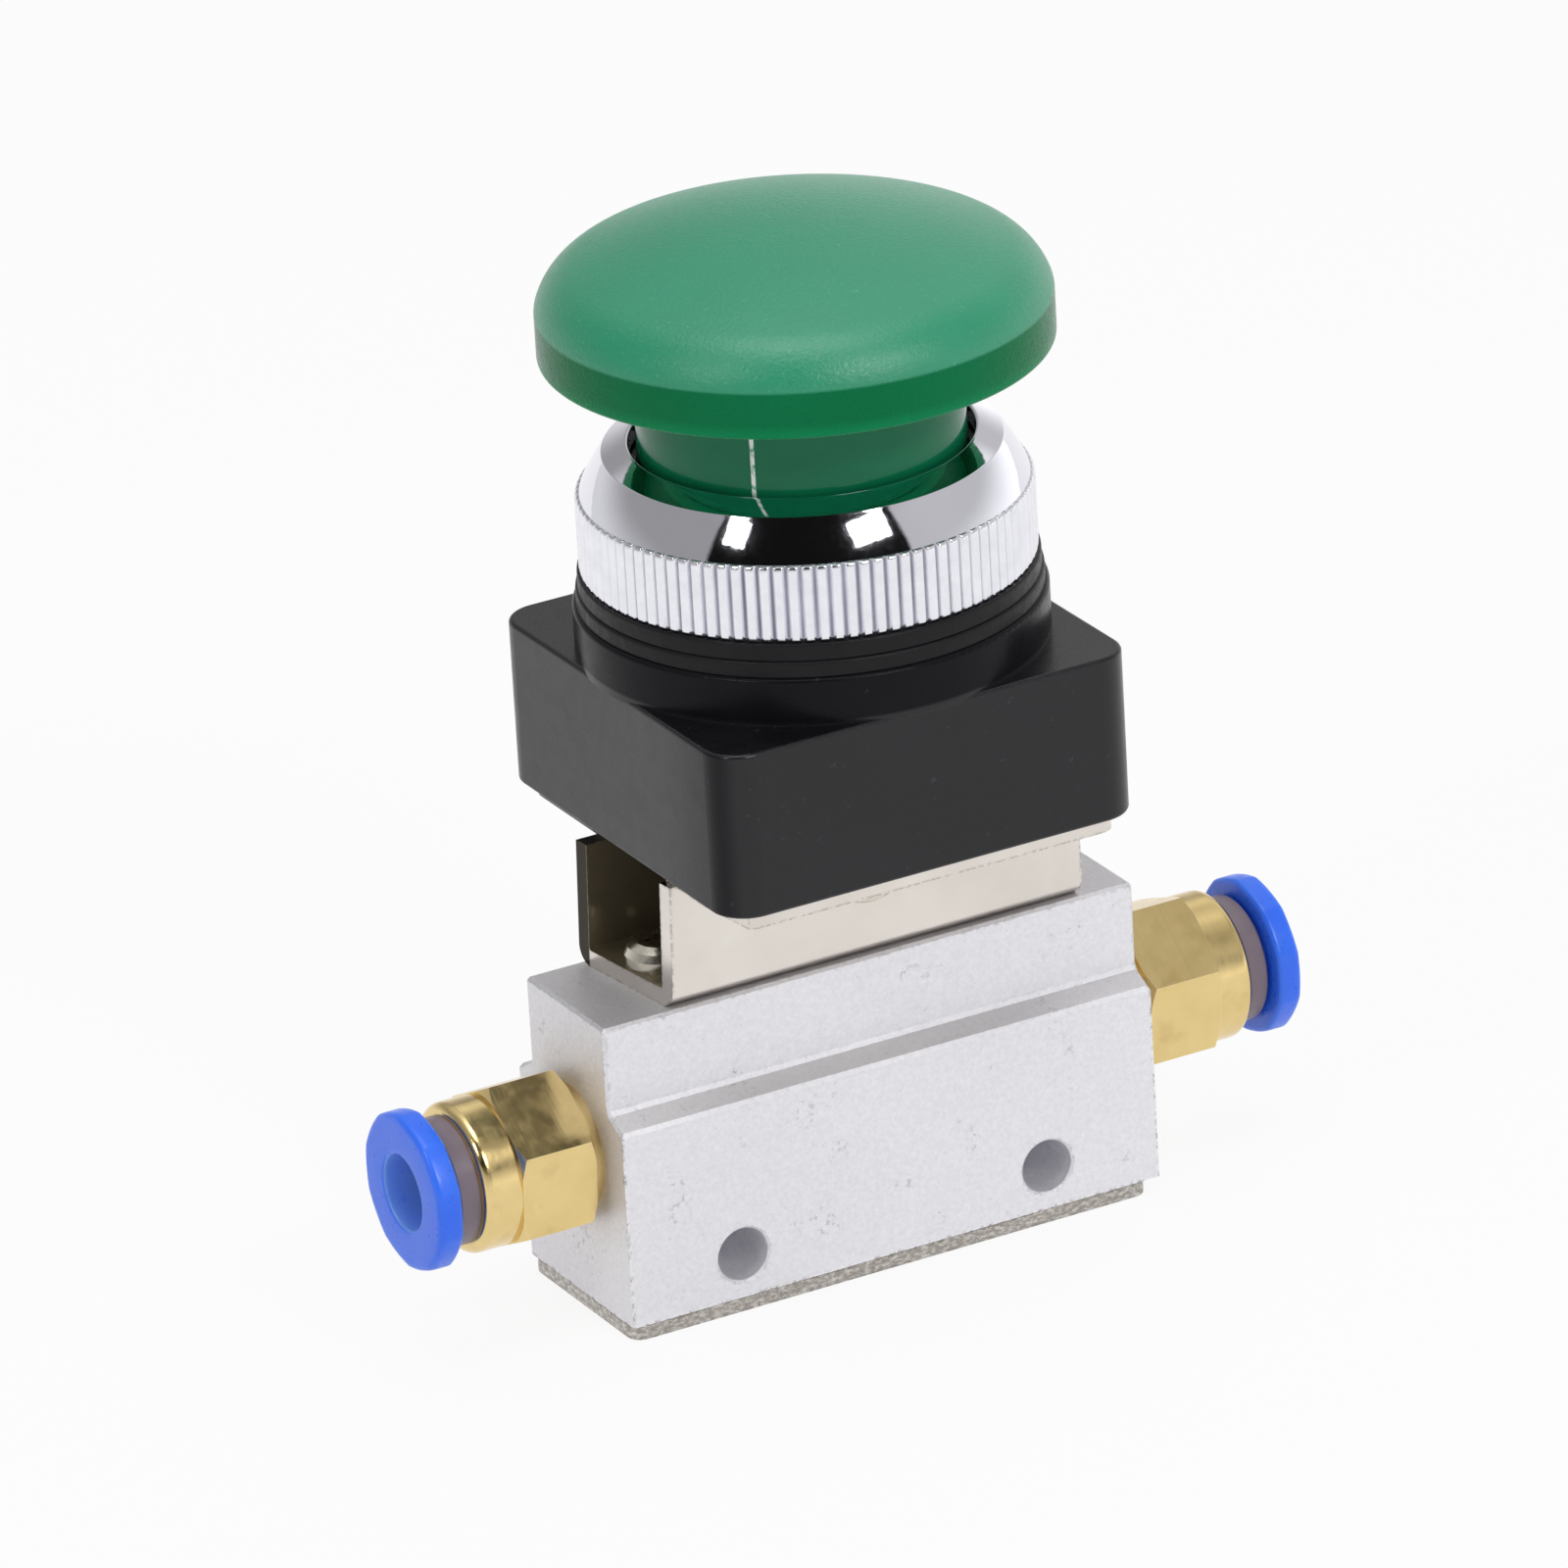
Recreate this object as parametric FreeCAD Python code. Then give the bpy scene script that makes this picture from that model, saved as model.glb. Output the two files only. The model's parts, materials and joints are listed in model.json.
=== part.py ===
import FreeCAD, Part
import math
import os

os.makedirs("parts", exist_ok=True)

# Frame: +X along the valve body, +Z up, origin at the middle of the base plate's underside.
# The button's axis is X = Y = 0. All sizes are in millimetres.

# Clearances
thread_clearance = 0.03
running_clearance = 0.05
guide_clearance = 0.10
seal_clearance = 0.03
contact_gap = 0.05
screw_hole_clearance = 0.15
screw_hole_spare = 0.5

# Travel of the button, the valve stem and the poppet, with the gap left between them when pressed
button_travel = 4.0
stem_travel = 2.5
poppet_travel = 1.5
pressed_gap = 0.1

# Valve body
body_length = 47.45
body_lower_width = 16.7
body_upper_width = 12.6
body_height = 24.7
shoulder_height = 16.45
shoulder_rise = 1.05
body_edge_break = 0.25
mount_hole_spacing = 27.4
mount_hole_height = 3.6
mount_hole_radius = 2.2
mount_hole_chamfer = 0.2

# Base plate and its screws
plate_thickness = 1.2
plate_right_inset = 1.0
plate_corner_radius = 1.2
plate_screw_inset = 4.1
plate_screw_radius = 1.25
plate_screw_head_flare = 1.05
plate_screw_recess = 0.15
plate_screw_depth = 5.0

# Air chambers and passages
port_height = 12.65
port_thread_radius = 4.86
passage_radius = 1.4
passage_offset = 2.5
chamber_radius = 5.0
seat_height = 11.8
seat_thickness = 1.7
orifice_radius = 2.2
stem_chamber_radius = 4.0

# Bottom seal
bottom_seal_land = 0.5
bottom_seal_section = 1.1
bottom_seal_groove_width = 1.6

# Stem guide and valve stem
guide_length = 5.3
guide_collar_wall = 1.55
guide_collar_height = 2.5
stem_radius = 2.0
stem_flange_radius = 3.4
stem_flange_height = 1.2
stem_nose_wall = 0.6
stem_bore_radius = 0.7
stem_vent_radius = 0.6
stem_vent_drop = 1.8
stem_reach = 6.1
stem_edge_break = 0.3
stem_seal_section = 1.16
stem_seal_height = 2.7
stem_seal_groove_width = 1.4

# Poppet
poppet_height = 3.85
poppet_spigot_radius = 1.9
poppet_spigot_length = 3.3
poppet_flute_radius = 1.2
poppet_flute_count = 3
poppet_flute_start = 60
poppet_seal_overlap = 1.6
poppet_seal_thickness = 0.8

# Springs
stem_spring_wire = 0.2
stem_spring_turns = 4
poppet_spring_gap = 0.9
poppet_spring_wire = 0.3
poppet_spring_turns = 5
button_spring_gap = 2.0
button_spring_wire = 0.55
button_spring_turns = 8

# Button stem and the chain of rings around it
button_stem_radius = 12.78
button_stem_wall = 1.5
button_stem_web = 2.0
button_stem_overlap = 7.0
neck_wall = 2.32
neck_top_gap = 0.2
bezel_wall = 2.6
panel_gasket_overhang = 0.2
lower_gasket_overhang = 0.4
boss_overhang = 0.7
box_inset = 0.25
sleeve_flange_width = 0.8
guide_disc_height = 2.0

# Bezel nut
knurl_depth = 0.28
knurl_count = 100
knurl_height = 6.3
knurl_chamfer = 0.25
bezel_cone_base_step = 0.35
bezel_cone_run = 1.89
bezel_cone_height = 3.2
bezel_top_rise = 0.85
bezel_hole_gap = 0.62
bezel_lip_height = 1.6

# Gaskets on the boss
lower_gasket_height = 1.3
panel_gasket_height = 1.4
gasket_edge_radius = 0.2

# Adapter box
box_height = 13.6
box_corner_radius = 3.05
box_wall = 2.4
box_floor = 2.0
box_roof = 2.0
box_edge_radius = 0.35
boss_height = 3.8
boss_edge_radius = 0.4
screw_boss_radius = 2.9
screw_boss_cover = 1.4
sleeve_ledge_height = 0.8
sleeve_ledge_width = 1.05

# Bracket, bent from sheet
sheet = 1.4
bend_radius = 0.2
bracket_left = 18.9
bracket_right = 19.2
bracket_left_lean = 0.4
bracket_left_skew = 1.4
bracket_height = 11.66
flange_side_inset = 1.25
flange_end_inset = 1.55
flange_corner_radius = 1.6

# Pan head screws of the bracket, the box and the button
bracket_screw_inset = 3.9
bracket_screw_radius = 1.5
bracket_screw_depth = 5.2
pan_head_radius = 2.9
pan_head_height = 1.9
box_screw_x = 4.0
box_screw_inset = 4.0
box_screw_radius = 1.5
box_screw_length = 6.5
box_screw_head_radius = 2.5
box_screw_head_height = 1.5
button_screw_radius = 1.5
button_screw_length = 9.0
button_screw_head_radius = 2.7
button_screw_head_height = 1.7
head_shoulder_share = 0.45
head_crown_points = ((0.9, 0.78), (0.68, 1.0))
recess_length = 2.8
recess_width = 0.6
recess_depth = 0.9

# Mushroom cap
cap_radius = 20.0
cap_gap = 7.2
cap_rim_height = 3.9
cap_rim_edge_radius = 0.35
dome_height = 6.6
dome_shoulder_radius = 5.2
dome_edge_slope = 75.0
cap_socket_depth = 2.0
cap_recess_wall = 1.7
cap_recess_depth = 2.4
cap_skirt_wall = 1.3
screw_pocket_gap = 0.7

# Plunger and its clip
plunger_radius = 3.0
plunger_flange_radius = 5.0
plunger_flange_height = 1.5
plunger_groove_depth = 0.6
plunger_edge_break = 0.4
clip_thickness = 0.7
clip_width = 2.17
clip_slot_width = 3.4

# Push-in fittings, measured outwards from the body's end face
tube_radius = 3.0
fitting_thread_length = 8.0
fitting_thread_pitch = 0.907
fitting_thread_groove = 0.35
fitting_neck = 1.2
fitting_seat_overlap = 0.25
hex_across_flats = 12.2
hex_length = 6.475
left_hex_turn = 25.8
right_hex_turn = 21.0
hex_chamfer = 0.7
nose_wall = 1.5
nose_length = 3.2
nose_edge_radius = 0.8
air_bore_step = 0.7
tube_stop = 0.9
tube_socket_length = 1.5
collet_depth = 1.55
gripper_offset = 0.4
gripper_thickness = 0.3
gripper_lean = 0.8
gripper_slot_width = 0.5
gripper_slot_count = 6
guide_ring_step = 0.9
guide_ring_height = 1.8
guide_ring_edge = 0.2
sleeve_wall = 0.75
release_push = 0.25
release_pull = 0.8
release_bead_height = 0.3
release_bead_length = 0.5
release_sleeve_gap = 0.4
release_ring_overhang = 0.4
release_ring_height = 2.1
release_ring_edge = 0.5
tube_entry_chamfer = 0.3

# Sizes that follow from the ones above
plate_length = body_length - plate_right_inset
plate_shift = -plate_right_inset / 2
plate_screw_x = plate_length / 2 - plate_screw_inset
plate_screw_head_radius = plate_screw_radius + plate_screw_head_flare
port_depth = fitting_thread_length + screw_hole_spare
bottom_seal_radius = chamber_radius + bottom_seal_land + bottom_seal_groove_width / 2
guide_collar_radius = stem_radius + running_clearance + guide_collar_wall
stem_nose_radius = stem_bore_radius + stem_nose_wall
poppet_radius = chamber_radius - guide_clearance
poppet_seal_radius = orifice_radius + poppet_seal_overlap
stem_spring_radius = (orifice_radius + stem_flange_radius) / 2
poppet_spring_radius = poppet_spigot_radius + poppet_spring_gap + poppet_spring_wire
button_spring_radius = plunger_flange_radius + button_spring_gap + button_spring_wire
sleeve_bore = button_stem_radius + guide_clearance
neck_radius = sleeve_bore + neck_wall
sleeve_flange_radius = neck_radius + sleeve_flange_width
knurl_radius = neck_radius + bezel_wall
panel_gasket_radius = knurl_radius + panel_gasket_overhang
lower_gasket_radius = knurl_radius + lower_gasket_overhang
boss_radius = knurl_radius + boss_overhang
bezel_cone_base_radius = knurl_radius - bezel_cone_base_step
bezel_cone_top_radius = bezel_cone_base_radius - bezel_cone_run
bezel_hole_radius = button_stem_radius + bezel_hole_gap
half_box = boss_radius - box_inset
flange_reach = half_box - flange_side_inset
flange_half_length = half_box - flange_end_inset
bracket_screw_x = bracket_left - bracket_screw_inset
box_screw_y = flange_reach - box_screw_inset
screw_pocket_radius = button_screw_head_radius + screw_pocket_gap
screw_pocket_depth = button_screw_head_height + screw_pocket_gap
clip_radius = plunger_radius - plunger_groove_depth + thread_clearance + clip_width
fitting_thread_radius = port_thread_radius - thread_clearance
collet_bore_radius = tube_radius + collet_depth
nose_radius = collet_bore_radius + nose_wall
air_bore_radius = tube_radius - air_bore_step
tube_seal_section = collet_depth - 2 * seal_clearance
gripper_inner_radius = tube_radius + screw_hole_clearance
guide_ring_radius = nose_radius - guide_ring_step
release_ring_radius = nose_radius + release_ring_overhang
release_ring_gap = release_push + contact_gap

# Heights worked out from the sizes above
body_bottom = plate_thickness
body_top = body_bottom + body_height
port_z = body_bottom + port_height
seat_z = body_bottom + seat_height
stem_chamber_floor = seat_z + seat_thickness
guide_bottom = body_top - guide_length
stem_seal_z = guide_bottom + stem_seal_height
stem_flange_top = guide_bottom - guide_clearance
stem_flange_bottom = stem_flange_top - stem_flange_height
stem_top = body_top + stem_reach
seal_top = seat_z - contact_gap
poppet_top = seal_top - poppet_seal_thickness
poppet_bottom = poppet_top - poppet_height
stem_nose_bottom = seal_top + stem_travel - poppet_travel + pressed_gap
floor_top = body_top + sheet
box_bottom = body_top + bracket_height
flange_bottom = box_bottom - sheet
box_top = box_bottom + box_height
boss_top = box_top + boss_height
sleeve_seat = box_top - box_roof + sleeve_ledge_height
lower_gasket_top = boss_top + lower_gasket_height
bezel_bottom = lower_gasket_top + panel_gasket_height
knurl_top = bezel_bottom + knurl_height
bezel_cone_top = knurl_top + bezel_cone_height
bezel_top = bezel_cone_top + bezel_top_rise
bezel_lip_bottom = bezel_top - bezel_lip_height
neck_top = bezel_lip_bottom - neck_top_gap
guide_disc_top = sleeve_seat + guide_disc_height
rim_bottom = bezel_top + cap_gap
rim_top = rim_bottom + cap_rim_height
apex = rim_top + dome_height
button_stem_top = rim_bottom + cap_socket_depth
button_stem_bottom = bezel_top - button_stem_overlap
web_bottom = button_stem_top - button_stem_web
plunger_flange_bottom = web_bottom - plunger_flange_height
plunger_tip = stem_top + button_travel - stem_travel + pressed_gap
clip_top = sleeve_seat - contact_gap
end_face = body_length / 2
bend_outer = bend_radius + sheet
half_bracket = body_upper_width / 2
channel_half = half_bracket - sheet


def vec(x, y, z):
    return FreeCAD.Vector(x, y, z)


def cylinder(radius, low, high, x=0.0, y=0.0):
    return Part.makeCylinder(radius, high - low, vec(x, y, low))


def block(x0, x1, y0, y1, z0, z1):
    return Part.makeBox(x1 - x0, y1 - y0, z1 - z0, vec(x0, y0, z0))


def revolve(points):
    # Closed outline of (radius, height) points, turned about the Z axis.
    corners = [vec(r, 0, z) for r, z in points]
    wire = Part.makePolygon(corners + [corners[0]])
    return Part.Face(wire).revolve(vec(0, 0, 0), vec(0, 0, 1), 360)


def ring(outer, inner, low, high):
    return cylinder(outer, low, high).cut(cylinder(inner, low, high))


def rounded_block(x0, x1, y0, y1, z0, z1, radius):
    solid = block(x0, x1, y0, y1, z0, z1)
    upright = [e for e in solid.Edges if abs(e.tangentAt(e.FirstParameter).z) > 0.99]
    return solid.makeFillet(radius, upright)


def circle_edges(solid, radius, height):
    # Round edges about the Z axis with this radius at this height.
    found = []
    for edge in solid.Edges:
        if edge.Degenerated or not isinstance(edge.Curve, Part.Circle):
            continue
        curve = edge.Curve
        if abs(curve.Radius - radius) < 1e-4 and abs(curve.Center.z - height) < 1e-4:
            if math.hypot(curve.Center.x, curve.Center.y) < 1e-4:
                found.append(edge)
    return found


def coil_spring(mean_radius, wire_radius, turns, low, high):
    # Round wire between two seats, clear of each by the contact gap. Each half turn is a tilted
    # half circle, and all of them meet square to the Y direction.
    start = low + wire_radius + contact_gap
    rise = (high - low - 2 * (wire_radius + contact_gap)) / (2 * turns)
    arc_radius = math.hypot(mean_radius, rise / 2)
    arcs = []
    for i in range(2 * turns):
        side = 1 if i % 2 == 0 else -1
        first = vec(side * mean_radius, 0, start + i * rise)
        last = vec(-side * mean_radius, 0, start + (i + 1) * rise)
        middle = vec(0, side * arc_radius, start + (i + 0.5) * rise)
        arcs.append(Part.Arc(first, middle, last).toShape())
    circle = Part.makeCircle(wire_radius, vec(mean_radius, 0, start), vec(0, 1, 0))
    return Part.Wire(arcs).makePipeShell([Part.Wire(circle)], True, False)


def cross_recess(x, y, face, depth_sign):
    # Two crossing slots in a screw head whose face lies at this height.
    reach = depth_sign * recess_depth
    low = min(face, face + reach)
    high = max(face, face + reach)
    half = recess_length / 2
    slot = recess_width / 2
    along = block(x - half, x + half, y - slot, y + slot, low, high)
    across = block(x - slot, x + slot, y - half, y + half, low, high)
    return along.fuse(across)


def pan_screw(x, y, seat, head_radius, head_height, shank_radius, shank_length, up):
    # Pan head on a seat; up is 1 for a head above its seat and -1 for one below.
    crown = [(0, 0), (head_radius, 0), (head_radius, head_height * head_shoulder_share)]
    crown += [(head_radius * across, head_height * rise) for across, rise in head_crown_points]
    crown += [(0, head_height)]
    head = revolve(crown)
    shank = cylinder(shank_radius, -shank_length, 0)
    screw = head.fuse(shank).cut(cross_recess(0, 0, head_height, -1)).removeSplitter()
    if up < 0:
        screw.rotate(vec(0, 0, 0), vec(1, 0, 0), 180)
    screw.translate(vec(x, y, seat))
    return screw


def save(solids, name):
    shape = solids[0] if len(solids) == 1 else Part.makeCompound(solids)
    for solid in solids:
        if not solid.isValid() or len(solid.Solids) != 1:
            print("check", name, solid.isValid(), len(solid.Solids))
    shape.exportStep("parts/" + name + ".step")
    box = shape.optimalBoundingBox(False)
    print(name, "volume", round(shape.Volume, 2), "z", round(box.ZMin, 2), round(box.ZMax, 2))


def place_along_x(shape, side):
    # Turns a piece drawn about +Z so that +Z points out of the body's end on that side.
    shape.rotate(vec(0, 0, 0), vec(0, 1, 0), 90 * side)
    shape.translate(vec(side * end_face, 0, port_z))
    return shape


def make_valve_body():
    low = body_lower_width / 2
    up = body_upper_width / 2
    shoulder = body_bottom + shoulder_height
    outline = [(-low, body_bottom), (low, body_bottom), (low, shoulder)]
    outline += [(up, shoulder + shoulder_rise), (up, body_top)]
    outline += [(-up, body_top), (-up, shoulder + shoulder_rise), (-low, shoulder)]
    corners = [vec(-end_face, y, z) for y, z in outline]
    profile = Part.Face(Part.makePolygon(corners + [corners[0]]))
    body = profile.extrude(vec(body_length, 0, 0))
    outer = [e for e in body.Edges if e.BoundBox.ZMin > body_bottom + body_edge_break]
    body = body.makeChamfer(body_edge_break, outer)
    for side in (-1, 1):
        port = Part.makeCylinder(
            port_thread_radius, port_depth, vec(side * end_face, 0, port_z), vec(-side, 0, 0)
        )
        passage_z = port_z + side * passage_offset
        passage = Part.makeCylinder(
            passage_radius, end_face - port_depth / 2,
            vec(side * (end_face - port_depth / 2), 0, passage_z), vec(-side, 0, 0),
        )
        body = body.cut(port).cut(passage)
        x = side * mount_hole_spacing / 2
        z = body_bottom + mount_hole_height
        hole = Part.makeCylinder(
            mount_hole_radius, body_lower_width, vec(x, -low, z), vec(0, 1, 0)
        )
        body = body.cut(hole)
        for face in (-1, 1):
            rim = Part.makeCone(
                mount_hole_radius + mount_hole_chamfer, mount_hole_radius, mount_hole_chamfer,
                vec(x, face * low, z), vec(0, -face, 0),
            )
            body = body.cut(rim)
        tapped = cylinder(
            bracket_screw_radius + thread_clearance,
            body_top - bracket_screw_depth - screw_hole_spare, body_top,
            side * bracket_screw_x,
        )
        plate_tap = cylinder(
            plate_screw_radius + thread_clearance, body_bottom,
            body_bottom + plate_screw_depth + screw_hole_spare,
            plate_shift + side * plate_screw_x,
        )
        body = body.cut(tapped).cut(plate_tap)
    body = body.cut(cylinder(chamber_radius, body_bottom, seat_z))
    body = body.cut(cylinder(orifice_radius, seat_z, stem_chamber_floor))
    body = body.cut(cylinder(stem_chamber_radius, stem_chamber_floor, body_top))
    half_groove = bottom_seal_groove_width / 2
    groove = ring(
        bottom_seal_radius + half_groove, bottom_seal_radius - half_groove,
        body_bottom, body_bottom + bottom_seal_section,
    )
    return body.cut(groove)


def make_bottom_plate():
    half = plate_length / 2
    plate = rounded_block(
        plate_shift - half, plate_shift + half, -body_lower_width / 2, body_lower_width / 2,
        0, plate_thickness, plate_corner_radius,
    )
    for side in (-1, 1):
        x = plate_shift + side * plate_screw_x
        sink = revolve([
            (0, 0), (plate_screw_head_radius + thread_clearance, 0),
            (plate_screw_head_radius + thread_clearance, plate_screw_recess),
            (plate_screw_radius + thread_clearance, plate_thickness), (0, plate_thickness),
        ])
        sink.translate(vec(x, 0, 0))
        plate = plate.cut(sink)
    return plate


def make_plate_screws():
    screws = []
    for side in (-1, 1):
        screw = revolve([
            (0, plate_screw_recess), (plate_screw_head_radius, plate_screw_recess),
            (plate_screw_radius, plate_thickness),
            (plate_screw_radius, plate_thickness + plate_screw_depth),
            (0, plate_thickness + plate_screw_depth),
        ])
        slot = recess_width / 2
        half = recess_length / 2
        top = plate_screw_recess + recess_depth
        screw = screw.cut(block(-half, half, -slot, slot, plate_screw_recess, top))
        screw = screw.cut(block(-slot, slot, -half, half, plate_screw_recess, top))
        screw.translate(vec(plate_shift + side * plate_screw_x, 0, 0))
        screws.append(screw)
    return screws


def make_bottom_oring():
    wire = bottom_seal_section / 2 - seal_clearance
    return Part.makeTorus(
        bottom_seal_radius, wire, vec(0, 0, body_bottom + bottom_seal_section / 2)
    )


def make_stem_guide():
    outer = stem_chamber_radius - thread_clearance
    guide = cylinder(outer, guide_bottom, body_top)
    collar = cylinder(guide_collar_radius, body_top, body_top + guide_collar_height)
    guide = guide.fuse(collar).removeSplitter()
    top_edge = circle_edges(guide, guide_collar_radius, body_top + guide_collar_height)
    guide = guide.makeChamfer(stem_edge_break, top_edge)
    bore = cylinder(
        stem_radius + running_clearance, guide_bottom, body_top + guide_collar_height
    )
    seal_outer = stem_radius + seal_clearance + stem_seal_section
    half_groove = stem_seal_groove_width / 2
    groove = cylinder(seal_outer, stem_seal_z - half_groove, stem_seal_z + half_groove)
    return guide.cut(bore).cut(groove)


def make_stem_oring():
    wire = stem_seal_section / 2
    return Part.makeTorus(
        stem_radius + seal_clearance + wire, wire - seal_clearance / 2, vec(0, 0, stem_seal_z)
    )


def make_valve_stem():
    stem = revolve([
        (0, stem_nose_bottom), (stem_nose_radius, stem_nose_bottom),
        (stem_nose_radius, stem_flange_bottom), (stem_flange_radius, stem_flange_bottom),
        (stem_flange_radius, stem_flange_top), (stem_radius, stem_flange_top),
        (stem_radius, stem_top - stem_edge_break), (stem_radius - stem_edge_break, stem_top),
        (0, stem_top),
    ])
    vent_z = stem_top - stem_vent_drop
    stem = stem.cut(cylinder(stem_bore_radius, stem_nose_bottom, vent_z))
    vent = Part.makeCylinder(
        stem_vent_radius, 2 * stem_radius, vec(-stem_radius, 0, vent_z), vec(1, 0, 0)
    )
    return stem.cut(vent)


def make_poppet():
    poppet = cylinder(poppet_radius, poppet_bottom, poppet_top)
    for i in range(poppet_flute_count):
        turn = math.radians(poppet_flute_start + 360 * i / poppet_flute_count)
        flute = cylinder(
            poppet_flute_radius, poppet_bottom, poppet_top,
            poppet_radius * math.cos(turn), poppet_radius * math.sin(turn),
        )
        poppet = poppet.cut(flute)
    spigot = cylinder(
        poppet_spigot_radius, poppet_bottom - poppet_spigot_length, poppet_bottom
    )
    return poppet.fuse(spigot).removeSplitter()


def sheet_section():
    # Bent sheet across the bracket: floor, two walls and two outward flanges.
    inner = bend_radius
    outer = bend_outer
    diagonal = math.sqrt(0.5)
    wall = half_bracket
    face = channel_half
    edges = []

    def line(a, b):
        edges.append(Part.LineSegment(vec(0, *a), vec(0, *b)).toShape())

    def bend(a, m, b):
        edges.append(Part.Arc(vec(0, *a), vec(0, *m), vec(0, *b)).toShape())

    def arc_point(center, radius, y_sign, z_sign):
        return (center[0] + y_sign * radius * diagonal, center[1] + z_sign * radius * diagonal)

    for s in (-1, 1):
        low_center = (s * (wall - outer), body_top + outer)
        high_center = (s * (face + outer), box_bottom - outer)
        low_out = (s * wall, body_top + outer)
        low_in = (s * face, body_top + outer)
        high_out = (s * wall, box_bottom - outer)
        high_in = (s * face, box_bottom - outer)
        flange_low = (s * (face + outer), flange_bottom)
        flange_high = (s * (face + outer), box_bottom)
        line((0, body_top), (s * (wall - outer), body_top))
        bend((s * (wall - outer), body_top), arc_point(low_center, outer, s, -1), low_out)
        line(low_out, high_out)
        bend(high_out, arc_point(high_center, inner, -s, 1), flange_low)
        line(flange_low, (s * flange_reach, flange_bottom))
        line((s * flange_reach, flange_bottom), (s * flange_reach, box_bottom))
        line((s * flange_reach, box_bottom), flange_high)
        bend(flange_high, arc_point(high_center, outer, -s, 1), high_in)
        line(high_in, low_in)
        bend(low_in, arc_point(low_center, inner, s, -1), (s * (wall - outer), floor_top))
        line((s * (wall - outer), floor_top), (0, floor_top))
    return Part.Face(Part.Wire(Part.__sortEdges__(edges)))


def make_bracket():
    section = sheet_section()
    section.translate(vec(-bracket_left, 0, 0))
    bracket = section.extrude(vec(bracket_left + bracket_right, 0, 0))
    spare = sheet
    reach = flange_reach + spare
    over = box_bottom + spare
    bend_start = box_bottom - bend_outer
    for side, end in ((-1, bracket_left), (1, bracket_right)):
        near = side * flange_half_length
        far = side * (end + spare)
        for hand in (-1, 1):
            inner = hand * half_bracket
            outer = hand * reach
            bracket = bracket.cut(block(
                min(near, far), max(near, far), min(inner, outer), max(inner, outer),
                bend_start, over,
            ))
    corners = rounded_block(
        -flange_half_length, flange_half_length, -flange_reach, flange_reach,
        flange_bottom, box_bottom, flange_corner_radius,
    )
    below = block(
        -bracket_left, bracket_right, -flange_reach, flange_reach, body_top, flange_bottom
    )
    bracket = bracket.common(corners.fuse(below))
    # The left end leans over the screw, and its far side reaches further out than its near side.
    skew = bracket_left_skew / body_upper_width
    middle = -bracket_left + bracket_left_skew / 2
    outside = -bracket_left - bracket_left_skew * reach / half_bracket
    lean = [
        vec(middle, 0, body_top), vec(outside, 0, body_top), vec(outside, 0, box_bottom),
        vec(middle + bracket_left_lean, 0, box_bottom),
    ]
    across = vec(-skew * reach, reach, 0)
    wedge = Part.Face(Part.makePolygon(lean + [lean[0]])).extrude(across * 2)
    wedge.translate(across * -1)
    bracket = bracket.cut(wedge)
    hole = guide_collar_radius + screw_hole_clearance
    bracket = bracket.cut(cylinder(hole, body_top, floor_top))
    for side in (-1, 1):
        bracket = bracket.cut(cylinder(
            bracket_screw_radius + screw_hole_clearance, body_top, floor_top,
            side * bracket_screw_x,
        ))
        bracket = bracket.cut(cylinder(
            box_screw_radius + screw_hole_clearance, flange_bottom, box_bottom,
            side * box_screw_x, side * box_screw_y,
        ))
    return bracket.removeSplitter()


def make_adapter_box():
    half = half_box
    box = rounded_block(-half, half, -half, half, box_bottom, box_top, box_corner_radius)
    rims = [e for e in box.Edges if e.BoundBox.ZLength < 1e-4]
    box = box.makeFillet(box_edge_radius, rims)
    boss = cylinder(boss_radius, box_top - box_edge_radius, boss_top)
    boss = boss.makeFillet(boss_edge_radius, circle_edges(boss, boss_radius, boss_top))
    box = box.fuse(boss).removeSplitter()
    inner = half - box_wall
    cavity_floor = box_bottom + box_floor
    cavity = rounded_block(
        -inner, inner, -inner, inner, cavity_floor, box_top - box_roof,
        box_corner_radius - box_wall,
    )
    box = box.cut(cavity)
    flange_bore = sleeve_flange_radius + thread_clearance
    box = box.cut(cylinder(flange_bore, sleeve_seat, boss_top))
    ledge = flange_bore - sleeve_ledge_width
    box = box.cut(cylinder(ledge, box_top - box_roof, sleeve_seat))
    for side in (-1, 1):
        x = side * box_screw_x
        y = side * box_screw_y
        tip = flange_bottom + box_screw_length + screw_hole_spare
        box = box.fuse(cylinder(screw_boss_radius, cavity_floor, tip + screw_boss_cover, x, y))
        box = box.cut(cylinder(box_screw_radius + thread_clearance, box_bottom, tip, x, y))
    box = box.cut(cylinder(plunger_radius + guide_clearance, box_bottom, cavity_floor))
    return box.removeSplitter()


def make_gasket(radius, low, high):
    gasket = ring(radius, neck_radius + running_clearance, low, high)
    return gasket.makeFillet(gasket_edge_radius, circle_edges(gasket, radius, high))


def make_guide_disc():
    return ring(sleeve_flange_radius, plunger_radius + guide_clearance, sleeve_seat, guide_disc_top)


def make_head_sleeve():
    return revolve([
        (sleeve_bore, guide_disc_top), (sleeve_flange_radius, guide_disc_top),
        (sleeve_flange_radius, boss_top), (neck_radius, boss_top), (neck_radius, neck_top),
        (sleeve_bore, neck_top),
    ])


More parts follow.
